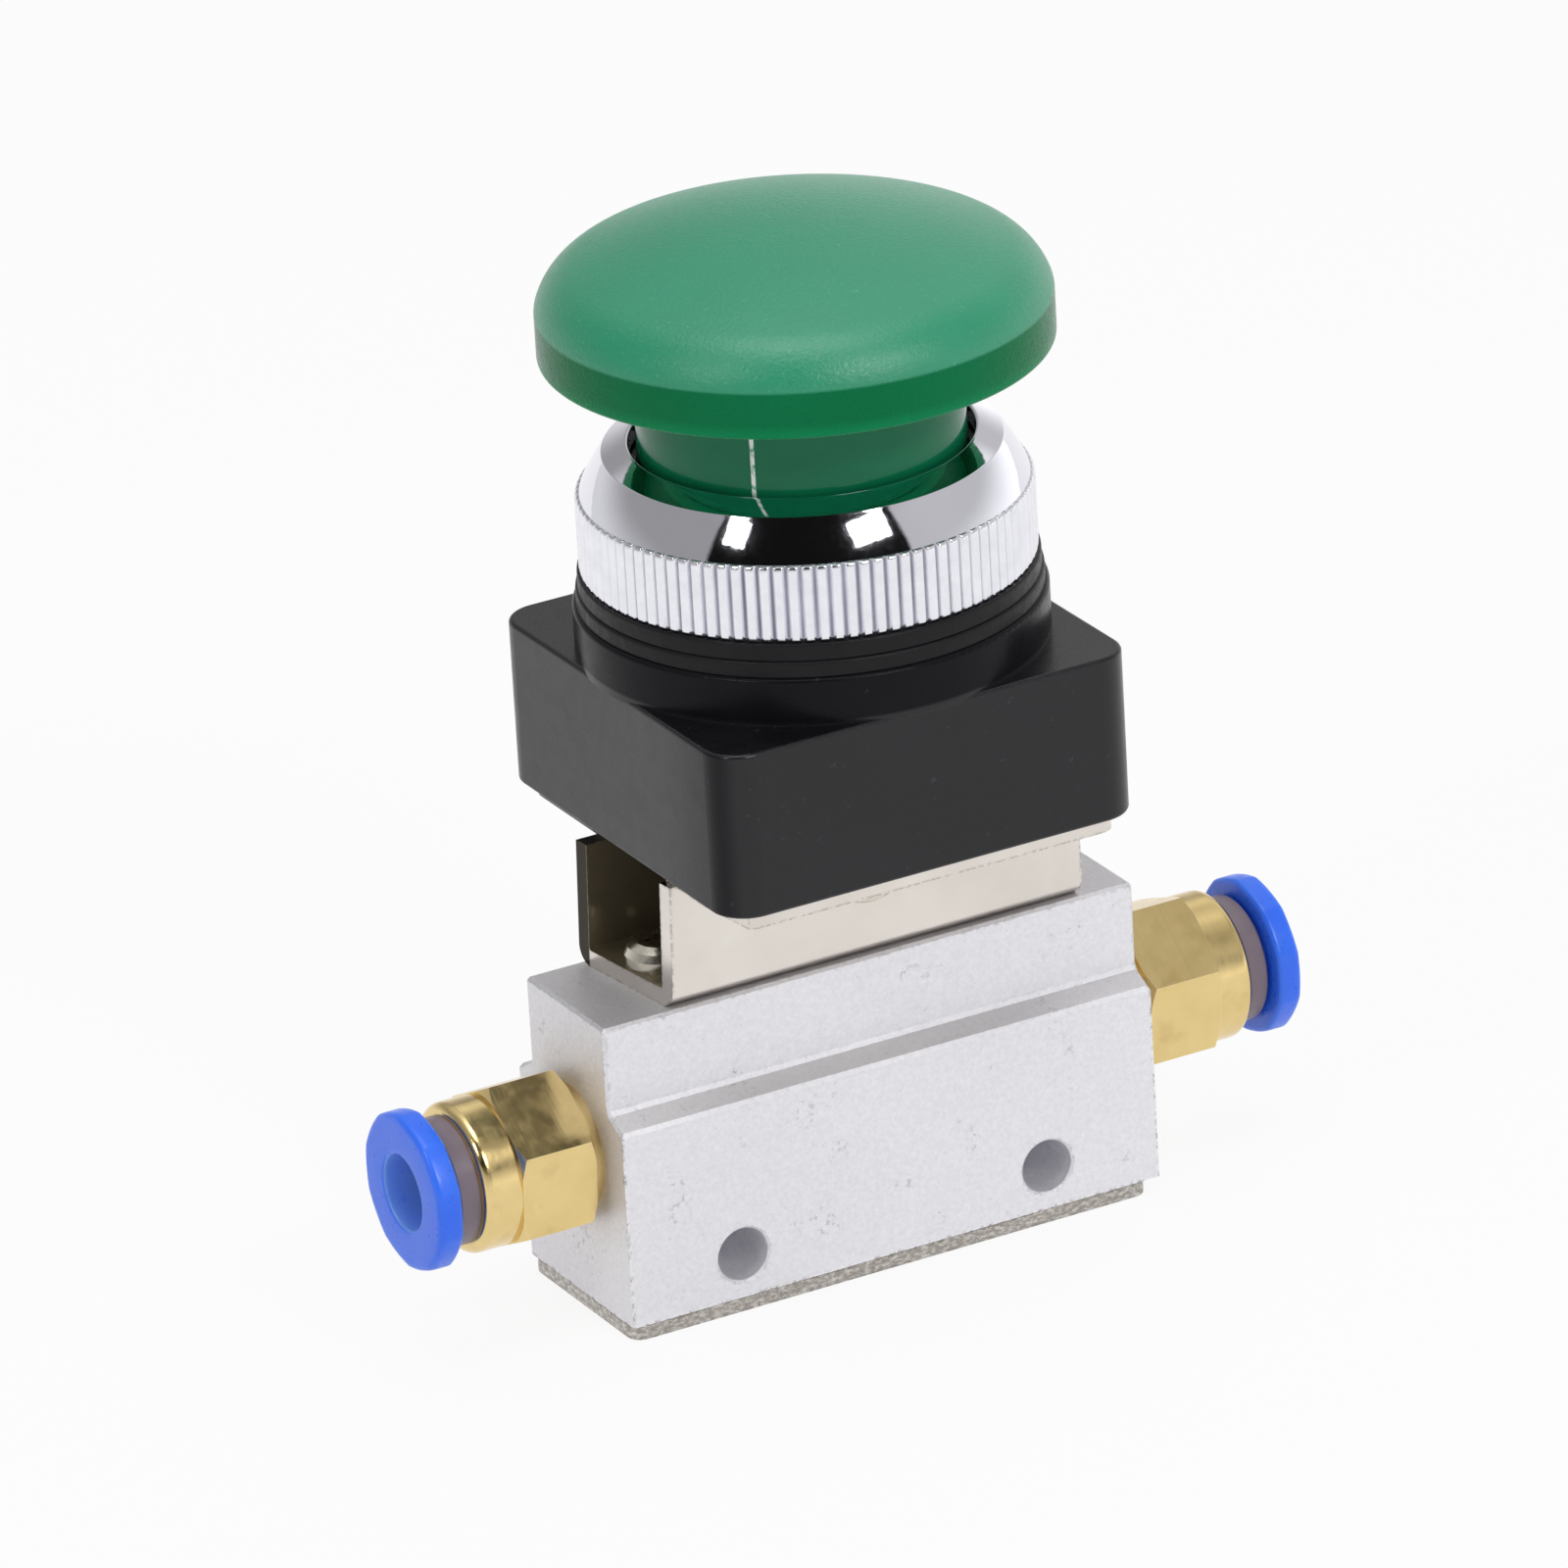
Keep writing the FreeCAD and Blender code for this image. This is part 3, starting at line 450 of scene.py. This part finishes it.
def knurl_material(radius, depth):
    """Bright on the crests of the teeth, and greyer in the grooves with painted shade."""
    m = Finish("knurl")
    m.set(Metallic=1.0)
    crest = m.step(m.from_axis(), radius - depth * 0.95, radius - depth * 0.35)
    uneven = m.noise(420, 3.0, where=m.stretch((1, 1, 0.25)))
    # Painted shade: the grooves are greyer than the crests.
    groove = m.mix(uneven, srgb(126, 126, 138), srgb(226, 226, 234))
    tone = m.mix(m.noise(700, 3.0), srgb(222, 222, 230), srgb(246, 246, 252))
    m.colour(m.mix(crest, groove, tone))
    m.rough_between(m.noise(2400, 3.0), 0.14, 0.28)
    m.bump((m.noise(3200, 3.0), 0.04, 0.35), (m.noise(900, 3.0), 0.08, 0.25))
    return m.material


def black_plastic_material(box_top, near_edge):
    """Duller on the boss, and on the left face towards its near edge, where the weaker reflection
    is painted shade.
    """
    m = Finish("black_plastic")
    grain = m.noise(3400, 3.0, 0.6)
    cloud = m.noise(60, 4.0)
    worn = m.edge_mask(0.30 * mm, 2.0)
    specks = m.ramp(m.noise(1500, 2.0), (0.70, 0.0), (0.76, 1.0))
    boss = m.step(m.position_part("Z"), box_top + 0.1 * mm, box_top + 0.4 * mm)
    # Painted shade: the left face reflects less towards its near edge.
    left_face = m.step(m.normal_part("X"), -0.5, -0.9)
    near = m.step(m.position_part("Y"), near_edge + 12 * mm, near_edge + 2 * mm)
    dull_and_painted_shade = m.math("MAXIMUM", boss, m.times(m.times(left_face, near), 0.7))
    tone = m.mix(cloud, srgb(12, 12, 15), srgb(23, 23, 28))
    marks = m.times(m.plus(worn, specks), 0.12, True)
    m.colour(m.mix(marks, tone, srgb(110, 110, 116)))
    m.specular(m.ramp(dull_and_painted_shade, (0.0, 0.40), (1.0, 0.10)))
    m.rough_between(m.noise(500, 5.0), 0.22, 0.34)
    m.bump((grain, 0.03, 0.35), (m.noise(110, 3.0), 0.2, 0.10))
    return m.material


def gasket_material():
    m = Finish("gasket_rubber")
    m.colour(m.mix(m.noise(300, 4.0), srgb(12, 12, 14), srgb(26, 26, 29)))
    m.set(Specular_IOR_Level=0.2)
    m.rough_between(m.noise(1200, 4.0), 0.34, 0.5)
    m.bump((m.noise(1800, 3.0), 0.06, 0.4))
    return m.material


def nickel_material(name, rough_edge, low, high, far_wall=None, metallic=1.0, sawn=False):
    """A sawn edge gets painted glints on its upright faces. With a far wall given, the sheet's
    left end past that Y is darkened with painted shade."""
    m = Finish(name)
    m.set(Metallic=metallic)
    cloud = m.noise(120, 5.0)
    rolled = m.noise(300, 4.0, where=m.stretch((0.15, 1.0, 1.0)))
    tone = m.mix(cloud, low, high)
    mask = m.edge_mask(0.45 * mm, 5.0)
    pits = m.ramp(m.noise(2600, 3.0), (0.44, 1.0), (0.56, 0.0))
    dark = m.times(m.times(mask, pits), rough_edge, True)
    finish = m.mix(dark, tone, srgb(92, 84, 76))
    if sawn:
        # Painted glints on the sawn faces.
        painted_glints = m.noise(2600, 4.0, 0.7, where=m.stretch((0.6, 0.6, 1.2)))
        cut_side = m.step(m.math("ABSOLUTE", m.normal_part("Z")), 0.9, 0.6)
        painted_glints = m.times(m.ramp(painted_glints, (0.44, 0.0), (0.70, 0.6)), cut_side)
        finish = m.mix(painted_glints, finish, srgb(250, 246, 240))
    if far_wall is not None:
        # Painted shade on the far wall's end.
        left_end = m.step(m.normal_part("X"), -0.5, -0.8)
        far_end_painted_shade = m.step(m.position_part("Y"), far_wall - 0.1 * mm, far_wall + 0.1 * mm)
        finish = m.mix(m.times(left_end, far_end_painted_shade), finish, srgb(52, 47, 40))
    m.colour(finish)
    wear = m.plus(m.times(rolled, 0.8), m.times(mask, 0.3))
    m.roughness(m.ramp(wear, (0.25, 0.13), (0.9, 0.36)))
    m.bump((m.noise(130, 4.0), 0.2, 0.18), (m.noise(2200, 3.0), 0.03, 0.3))
    return m.material


def aluminium_material(name, low, high, rough):
    """Blasted, with pale worn edges, dark pits beside them and a few patches of small dents."""
    m = Finish(name)
    m.set(Metallic=0.75)
    grain = m.noise(3000, 4.0, 0.65)
    cloud = m.noise(140, 5.0)
    mottle = m.ramp(m.noise(2600, 4.0, 0.7), (0.30, 0.0), (0.70, 1.0))
    tone = m.mix(m.mix(0.5, cloud, mottle), low, high)
    mask = m.edge_mask(0.55 * mm, 5.0)
    pits = m.ramp(m.noise(2300, 4.0, 0.7), (0.40, 1.0), (0.50, 0.0))
    specks = m.ramp(grain, (0.30, 1.0), (0.38, 0.0))
    patches = m.ramp(m.noise(230, 3.0), (0.57, 0.0), (0.66, 1.0))
    dents = m.ramp(m.noise(2000, 3.0, 0.6), (0.36, 1.0), (0.43, 0.0))
    scars = m.times(patches, dents)
    marks = m.plus(m.times(specks, 0.15), m.times(scars, 0.25))
    dark = m.plus(m.times(m.times(mask, pits), 0.8), marks, True)
    worn = m.mix(m.times(mask, 0.6, True), tone, srgb(252, 252, 254))
    m.colour(m.mix(dark, worn, srgb(96, 94, 96)))
    m.rough_between(cloud, rough, rough + 0.12)
    m.bump((grain, 0.07, 0.7), (m.noise(600, 4.0), 0.1, 0.2))
    return m.material


def brass_material():
    m = Finish("brass")
    m.set(Metallic=1.0)
    turned = m.noise(900, 3.0, where=m.stretch((3.0, 0.1, 0.1)))
    cloud = m.noise(220, 4.0)
    tone = m.mix(cloud, srgb(216, 188, 124), srgb(238, 214, 156))
    stain = m.ramp(m.noise(380, 5.0), (0.56, 0.0), (0.74, 1.0))
    worn = m.edge_mask(0.3 * mm, 4.0)
    aged = m.mix(m.times(stain, 0.18), tone, srgb(150, 116, 56))
    m.colour(m.mix(m.times(worn, 0.4), aged, srgb(246, 226, 170)))
    m.rough_between(m.noise(900, 4.0), 0.14, 0.26)
    m.bump((turned, 0.03, 0.25), (m.noise(320, 2.0), 0.05, 0.12))
    return m.material


def steel_material(name, low, high, rough):
    m = Finish(name)
    m.set(Metallic=1.0)
    m.colour(m.mix(m.noise(500, 4.0), low, high))
    m.rough_between(m.noise(1500, 3.0), rough, rough + 0.14)
    m.bump((m.noise(1200, 3.0), 0.04, 0.25))
    return m.material


def taupe_material():
    m = Finish("taupe_plastic")
    m.colour(m.mix(m.noise(400, 3.0), srgb(114, 102, 110), srgb(132, 118, 128)))
    m.rough_between(m.noise(1500, 3.0), 0.30, 0.42)
    m.bump((m.noise(1500, 3.0), 0.04, 0.25))
    return m.material


def blue_material(name, low, high, depth):
    m = Finish(name)
    m.set(Subsurface_Weight=0.5, Subsurface_Scale=depth, Subsurface_Radius=(0.3, 0.6, 1.0))
    m.colour(m.mix(m.noise(260, 3.0), low, high))
    m.rough_between(m.noise(1400, 3.0), 0.26, 0.38)
    m.bump((m.noise(300, 2.0), 0.08, 0.15), (m.noise(2600, 2.0), 0.02, 0.2))
    return m.material


def rubber_material():
    m = Finish("seal_rubber")
    m.colour(m.mix(m.noise(900, 3.0), srgb(18, 18, 18), srgb(34, 34, 34)))
    m.rough_between(m.noise(1500, 3.0), 0.45, 0.6)
    m.bump((m.noise(1500, 3.0), 0.04, 0.3))
    return m.material


# Sizes that several pieces and finishes share
cap_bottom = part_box("mushroom_cap")[0].z
cap_rim_top = cap_bottom + 3.9 * mm
boss_height = 3.8 * mm
box_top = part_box("adapter_box")[1].z - boss_height
neck_bore = 15.25 * mm
knurl_depth = 0.34 * mm
channel_half = 4.9 * mm  # half the bracket's inside width

green_cap = green_cap_material(cap_bottom, cap_rim_top)
green_stem = green_stem_material()
painted_flash_highlight = painted_flash_highlight_material()
chrome = chrome_material()
knurl_finish = knurl_material(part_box("bezel_ring")[1].x, knurl_depth)
black_plastic = black_plastic_material(box_top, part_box("adapter_box")[0].y)
gasket_rubber = gasket_material()
nickel = nickel_material("nickel_plate", 0.6, srgb(206, 199, 191), srgb(236, 230, 224),
                         far_wall=channel_half)
nickel_rough = nickel_material("nickel_plate_sawn", 1.0, srgb(132, 126, 120),
                               srgb(170, 164, 158), sawn=True)
# Painted shade and a warm painted reflection for the bracket's inner faces.
nickel_inside_painted_shade = nickel_material("nickel_plate_inside_painted_shade", 0.3, srgb(96, 88, 72),
                                srgb(150, 136, 108), metallic=0.5)
aluminium = aluminium_material("blasted_aluminium", srgb(226, 225, 229), srgb(248, 247, 251), 0.56)
# A greyer copy of the aluminium for the top and shoulders: painted shade.
smooth_aluminium_painted_shade = aluminium_material("smooth_aluminium_painted_shade", srgb(204, 202, 204),
                                     srgb(222, 220, 223), 0.5)
brass = brass_material()
screw_steel = steel_material("steel_screw", srgb(196, 190, 176), srgb(226, 220, 206), 0.16)
wire_steel = steel_material("spring_steel", srgb(170, 170, 172), srgb(200, 200, 202), 0.24)
taupe = taupe_material()
blue = blue_material("blue_plastic", srgb(36, 106, 250), srgb(58, 122, 254), 2.0 * mm)
# A paler blue for the bore: painted glow of light through the tube's wall.
blue_bore_painted_glow = blue_material("blue_plastic_bore_painted_glow", srgb(110, 156, 255), srgb(136, 176, 255), 4.0 * mm)
seal_rubber = rubber_material()


# Pieces with a finer shape of their own

def make_cap():
    """Crown arc, shoulder arc and rim, with the hollow under its edge."""
    low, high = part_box("mushroom_cap")
    radius = min(high.x, high.y)
    shoulder_radius = 5.2 * mm
    slope = math.radians(75)
    shoulder = (radius - shoulder_radius * math.sin(slope),
                cap_rim_top - shoulder_radius * math.cos(slope))
    depth = high.z - shoulder[1]
    reach = shoulder[0] ** 2 + depth ** 2 - shoulder_radius ** 2
    crown_radius = reach / (2 * (depth - shoulder_radius))
    crown_z = high.z - crown_radius
    meet = math.atan2(shoulder[0], shoulder[1] - crown_z)
    edge = 0.22 * mm
    edge_centre = (radius - edge, cap_rim_top - edge * 0.8)
    lower_edge = 0.4 * mm
    lower_centre = (radius - lower_edge, low.z + lower_edge)
    rim_wall = 1.7 * mm
    draft = 0.15 * mm
    hollow_outer = radius - rim_wall
    hollow_inner = 14.11 * mm
    hollow_top = low.z + 2.4 * mm
    socket = 12.81 * mm
    socket_top = low.z + 2 * mm
    outline = [(0.0, high.z)]
    outline += arc((0.0, crown_z), crown_radius, 0, meet, 24)[1:]
    outline += arc(shoulder, shoulder_radius, meet, slope, 24)[1:-1]
    outline += arc(edge_centre, edge, slope, math.pi / 2, 4)
    outline += arc(lower_centre, lower_edge, math.pi / 2, math.pi, 5)
    outline += [(hollow_outer, low.z), (hollow_outer - draft, hollow_top),
                (hollow_inner, hollow_top), (hollow_inner, low.z), (socket, low.z),
                (socket, socket_top), (0.0, socket_top)]
    cap = lathe("mushroom_cap", outline, 256)
    dress(cap, green_cap, "button", "green_cap", "mushroom_cap")


def make_stem():
    """A cup that is open at the bottom, with a fine ridge of moulding flash down its side."""
    low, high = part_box("button_stem")
    radius = high.x
    wall = 1.5 * mm
    web = 2.0 * mm
    outline = round_corners(
        [(0.0, high.z), (radius, high.z), (radius, low.z), (radius - wall, low.z),
         (radius - wall, high.z - web), (0.0, high.z - web)],
        [0, 0.2 * mm, 0.3 * mm, 0.2 * mm, 0.3 * mm, 0], 4)
    skin = radius - 0.1 * mm
    ridge_angle = front_angle - math.radians(17.8)
    ridge_width = 0.010
    ridge_height = 0.06 * mm
    painted_width = ridge_width * 1.3

    def from_ridge(angle):
        return (angle - ridge_angle + math.pi) % (2 * math.pi) - math.pi

    def ridge(r, z, angle):
        if r < skin:
            return r
        return r + ridge_height * math.exp(-(from_ridge(angle) / ridge_width) ** 2)

    def on_ridge(centre, normal):
        away = abs(from_ridge(math.atan2(centre.y, centre.x)))
        return away < painted_width and math.hypot(centre.x, centre.y) > skin

    stem = lathe("button_stem", outline, 720, ridge)
    dress(stem, green_stem, "button", "green_stem", "button_stem")
    # The ridge's faces take the painted highlight.
    second_finish(stem, painted_flash_highlight, on_ridge)


def make_bezel():
    """A nut with a knurled skirt, a steep cone, a shallow cone and a bore."""
    low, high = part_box("bezel_ring")
    radius = high.x
    knurl_top = low.z + 6.3 * mm
    cone_base = radius - 0.35 * mm
    cone_top_radius = cone_base - 1.89 * mm
    cone_top = knurl_top + 3.2 * mm
    hole = 13.4 * mm
    lip = high.z - 1.6 * mm
    skirt_wall = 0.8 * mm

    # The teeth run straight up the skirt and curve in at both ends.
    end = 0.55 * mm
    end_depth = 0.30 * mm
    steps = 6
    straight = knurl_top - low.z - 2 * end
    turns = [math.pi / 2 * i / steps for i in range(steps + 1)]
    curved = [(radius - end_depth * (1 - math.sin(turn)), end * (1 - math.cos(turn)))
              for turn in turns]
    skirt = [(r, low.z + rise) for r, rise in curved]
    skirt += [(radius, low.z + end + straight * i / steps) for i in range(1, steps)]
    skirt += [(r, knurl_top - rise) for r, rise in reversed(curved)]

    upper = round_corners(
        [(cone_base, knurl_top), (cone_top_radius, cone_top), (hole, high.z), (hole, lip),
         (neck_bore, lip), (neck_bore, low.z), (radius - skirt_wall, low.z)],
        [0, 0.16 * mm, 0.25 * mm, 0.15 * mm, 0, 0, 0], 5)

    # The steep cone bulges slightly.
    belly = 0.09 * mm
    belly_steps = 12
    base = Vector(upper[0])
    top = Vector(upper[1])
    outward = Vector((top.y - base.y, base.x - top.x)).normalized()
    cone = []
    for i in range(1, belly_steps):
        t = i / belly_steps
        cone.append(tuple(base.lerp(top, t) + outward * belly * 4 * t * (1 - t)))
    outline = skirt + upper[:1] + cone + upper[1:]

    teeth = 100
    groove_half = 0.26
    valley = radius - knurl_depth
    teeth_end = knurl_top + 1e-6

    def tooth(r, z, angle):
        if r <= valley or z > teeth_end:
            return r
        phase = (angle * teeth / (2 * math.pi)) % 1.0
        groove = max(0.0, 1 - abs(phase - 0.5) / groove_half)
        groove = groove * groove * (3 - 2 * groove)
        return r - (r - valley) * groove

    def on_knurl(centre, normal):
        below_top = centre.z < knurl_top - 0.02 * mm
        return below_top and math.hypot(centre.x, centre.y) > radius - 0.6 * mm

    bezel = lathe("bezel_ring", outline, teeth * 12, tooth)
    dress(bezel, chrome, "valve", "chrome", "bezel_ring")
    second_finish(bezel, knurl_finish, on_knurl)


def make_gasket(node, corner):
    """A rubber ring whose outer edge is slightly uneven."""
    low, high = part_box(node)
    outline = round_corners(
        [(neck_bore, high.z), (high.x, high.z), (high.x, low.z), (neck_bore, low.z)],
        [0, corner, 0.10 * mm, 0], 4)
    uneven_from = high.x - 0.5 * mm
    waviness = 0.02 * mm

    def uneven(r, z, angle):
        if r < uneven_from:
            return r
        return r - waviness * (1 + math.sin(angle * 5) * math.sin(angle * 3 + 1))

    ring = lathe(node, outline, 256, uneven)
    dress(ring, gasket_rubber, "valve", "gasket_rubber", node)


def make_release_ring(name, side):
    """A tube with a small bead at its inner end and a flange outside that has slight facets."""
    node = name + "_release_sleeve"
    low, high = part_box(node)
    port_z = (low.z + high.z) / 2
    outer = (high.z - low.z) / 2
    far = max(abs(low.x), abs(high.x))
    near = min(abs(low.x), abs(high.x))
    bore = 3.1 * mm
    tube = bore + 0.75 * mm
    bead = tube + 0.3 * mm
    bead_end = near + 0.5 * mm
    back = far - 2.1 * mm
    outline = round_corners(
        [(bore, far), (outer, far), (outer, back), (tube, back), (tube, bead_end),
         (bead, bead_end), (bead, near), (bore, near)],
        [0.35 * mm, 0.65 * mm, 0.45 * mm, 0.1 * mm, 0, 0.05 * mm, 0.05 * mm, 0.05 * mm], 6)
    facets = 10
    flatness = 0.12 * mm
    facets_from = outer - 1.2 * mm
    first_angle = 0.2

    def faceted(r, z, angle):
        if r < facets_from:
            return r
        phase = (angle * facets / (2 * math.pi)) % 1.0 - 0.5
        return r - flatness * (1 - (2 * abs(phase)) ** 2)

    def in_bore(centre, normal):
        return math.hypot(centre.x, centre.y) < bore + 0.1 * mm

    ring = lathe(node, outline, 240, faceted, first_angle)
    dress(ring, blue, name + "_release", "blue_plastic", node)
    # The bore's faces take the painted glow.
    second_finish(ring, blue_bore_painted_glow, in_bore)
    lay_along_x(ring, side, port_z)


for name, side in (("left", -1), ("right", 1)):
    make_release_ring(name, side)
make_cap()
make_stem()
make_bezel()
make_gasket("lower_gasket", 0.30 * mm)
make_gasket("panel_gasket", 0.22 * mm)

# Pieces whose CAD shape is kept, with their edges rounded or their finish alone
for node, width, material, slot in (
    ("valve_body", 0.16 * mm, aluminium, "blasted_aluminium"),
    ("bottom_plate", 0.14 * mm, nickel_rough, "nickel_plate"),
    ("mounting_bracket", 0.12 * mm, nickel, "nickel_plate"),
):
    dress(beveled_copy(node, width), material, "valve", slot, node)

# The body's top and its sloping shoulders are smoother than its sides, and greyer: painted shade.
shoulder_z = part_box("left_fitting_body")[1].z * 0.8
second_finish(bpy.data.objects["valve_body_finish"], smooth_aluminium_painted_shade,
              lambda centre, normal: normal.z > 0.6 and centre.z > shoulder_z)

# The bracket's inner faces get a darker, browner copy of the nickel: painted shade inside the
# channel, warmed with a painted reflection of the brass.
inside_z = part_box("valve_body")[1].z + 0.2 * mm
inside_y = channel_half + 0.01 * mm
second_finish(bpy.data.objects["mounting_bracket_finish"], nickel_inside_painted_shade,
              lambda centre, normal: abs(centre.y) < inside_y and centre.z > inside_z
              and abs(normal.x) < 0.5)

for node, material in (
    ("adapter_box", black_plastic), ("guide_disc", black_plastic), ("head_sleeve", black_plastic),
    ("plate_screws", screw_steel), ("bracket_screws", screw_steel), ("box_screws", screw_steel),
    ("stem_guide", brass), ("left_fitting_body", brass), ("right_fitting_body", brass),
    ("poppet", brass), ("left_guide_ring", taupe), ("right_guide_ring", taupe),
    ("valve_stem", screw_steel), ("button_plunger", screw_steel), ("button_screw", screw_steel),
    ("retaining_clip", wire_steel), ("left_gripper", wire_steel), ("right_gripper", wire_steel),
    ("bottom_oring", seal_rubber), ("stem_oring", seal_rubber), ("poppet_seal", seal_rubber),
    ("left_tube_oring", seal_rubber), ("right_tube_oring", seal_rubber),
):
    repaint(node, material)

# Each spring gets a finished copy of its mesh in place of the CAD node.
for joint in frame["record"]["behaviour"]["joints"]:
    for spring in joint.get("deforming_nodes", ()):
        node = spring["node"]
        fixed_end = spring["fixed_end_z_m"]
        piece = new_object(node + "_finish", nodes[node].data.copy())
        dress(piece, wire_steel, "valve", "spring_steel", node)
        shade(piece.data, 60)
        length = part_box(node)[1].z - fixed_end
        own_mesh(piece)


# Floor, world and lamps

def make_floor():
    """White paper, which also glows where the camera or a reflection meets it."""
    size = 4.0
    glow_share = 0.9
    mesh = bpy.data.meshes.new("floor")
    mesh.from_pydata([(-size, -size, 0), (size, -size, 0), (size, size, 0), (-size, size, 0)], [],
                     [(0, 1, 2, 3)])
    floor = new_object("floor", mesh)
    material = bpy.data.materials.new("floor_white")
    material.use_nodes = True
    paper = Tree(material.node_tree)
    diffuse = paper.new("BsdfDiffuse")
    diffuse.inputs["Color"].default_value = (0.80, 0.80, 0.81, 1)
    glow = paper.new("Emission")
    glow.inputs["Color"].default_value = (1, 1, 1, 1)
    glow.inputs["Strength"].default_value = 1.0
    path = paper.new("LightPath")
    seen = paper.math("MAXIMUM", path.outputs["Is Camera Ray"], path.outputs["Is Glossy Ray"])
    surface = paper.mix_shaders(paper.times(seen, glow_share), diffuse.outputs[0], glow.outputs[0])
    paper.link(surface, paper.new("OutputMaterial").inputs["Surface"])
    mesh.materials.append(material)


def make_world():
    """A pale room: white near the floor, grey above, with a dark gap behind the camera. The
    background itself is plain white. A height is the sine of the angle above the floor, and an
    azimuth is in radians from the camera's side."""
    floor_level = 0.90
    wall_drop = 0.48
    back_rise = 0.30
    ceiling_rise = 0.50
    right_rise = 0.55
    left_drop = 0.18
    gap_darkness = 0.985
    world = bpy.data.worlds.new("studio")
    bpy.context.scene.world = world
    world.use_nodes = True
    room = Tree(world.node_tree)
    turned = room.new("Mapping")
    turned.vector_type = "POINT"
    turned.inputs["Rotation"].default_value = (0, 0, -front_angle)
    room.link(room.new("TexCoord").outputs["Generated"], turned.inputs["Vector"])
    split = room.new("SeparateXYZ")
    room.link(turned.outputs[0], split.inputs[0])
    height = split.outputs["Z"]
    azimuth = room.math("ARCTAN2", split.outputs["Y"], split.outputs["X"])
    away = room.math("ABSOLUTE", azimuth)

    gap = room.times(room.inverse(room.step(away, 0.92, 0.96)), room.step(height, 0.28, 0.36))
    gap = room.times(gap, room.inverse(room.step(height, 0.93, 0.97)))
    wall = room.times(room.step(height, 0.02, 0.35), wall_drop)
    back = room.times(room.step(height, 0.42, 0.55), room.step(away, 1.9, 2.4))
    ceiling = room.step(height, 0.80, 0.97)
    level = room.math("SUBTRACT", floor_level, wall)
    level = room.plus(level, room.times(back, back_rise))
    level = room.plus(level, room.times(ceiling, ceiling_rise))
    side = room.times(room.step(azimuth, -0.9, 1.4), right_rise)
    side = room.math("SUBTRACT", side, left_drop)
    side = room.times(side, room.inverse(room.step(height, 0.62, 0.75)))
    level = room.times(level, room.plus(1.0, side))
    level = room.times(level, room.inverse(room.times(gap, gap_darkness)))

    walls = room.new("Background")
    walls.inputs["Color"].default_value = (1, 1, 1, 1)
    room.link(level, walls.inputs["Strength"])
    white = room.new("Background")
    white.inputs["Color"].default_value = (1, 1, 1, 1)
    white.inputs["Strength"].default_value = 1.0
    straight = room.new("LightPath").outputs["Is Camera Ray"]
    surface = room.mix_shaders(straight, walls.outputs[0], white.outputs[0])
    room.link(surface, room.new("OutputWorld").inputs["Surface"])


def make_lamp(name, turn, lift, width, height, power):
    """An area lamp that is aimed at the part's middle. Its turn is about +Z, from the camera's
    side, and its lift is above the floor."""
    distance = 0.9
    aim = Vector((0, 0, 45 * mm))
    angle = front_angle + math.radians(turn)
    rise = math.radians(lift)
    direction = Vector((math.cos(angle) * math.cos(rise), math.sin(angle) * math.cos(rise),
                        math.sin(rise)))
    lamp = bpy.data.lights.new(name, "AREA")
    lamp.shape = "RECTANGLE"
    lamp.size = width
    lamp.size_y = height
    lamp.energy = power
    holder = new_object(name, lamp)
    holder.location = aim + direction * distance
    holder.rotation_euler = direction.to_track_quat("Z", "Y").to_euler()


def make_camera():
    back = Vector((math.sin(camera_yaw) * math.cos(camera_pitch),
                   -math.cos(camera_yaw) * math.cos(camera_pitch), math.sin(camera_pitch)))
    right = (-back).cross(Vector((0, 0, 1))).normalized()
    up = right.cross(-back)
    right, up = (right * math.cos(camera_roll) + up * math.sin(camera_roll),
                 up * math.cos(camera_roll) - right * math.sin(camera_roll))
    place = (camera_target + back * camera_distance + right * camera_offset[0]
             + up * camera_offset[1])
    lens = bpy.data.cameras.new("camera")
    lens.lens = camera_lens
    lens.sensor_width = camera_sensor
    lens.clip_start = 0.01
    holder = new_object("camera", lens)
    holder.matrix_world = Matrix((
        (right.x, up.x, back.x, place.x), (right.y, up.y, back.y, place.y),
        (right.z, up.z, back.z, place.z), (0, 0, 0, 1)))
    bpy.context.scene.camera = holder


make_floor()
make_world()
make_lamp("left_lamp", turn=-42, lift=39, width=0.15, height=0.18, power=1.3)
make_lamp("right_lamp", turn=36, lift=39, width=0.27, height=0.18, power=2.3)
make_lamp("top_lamp", turn=0, lift=84, width=0.50, height=0.50, power=2.1)
make_camera()
bpy.context.scene.view_settings.view_transform = "Standard"

bpy.context.view_layer.update()
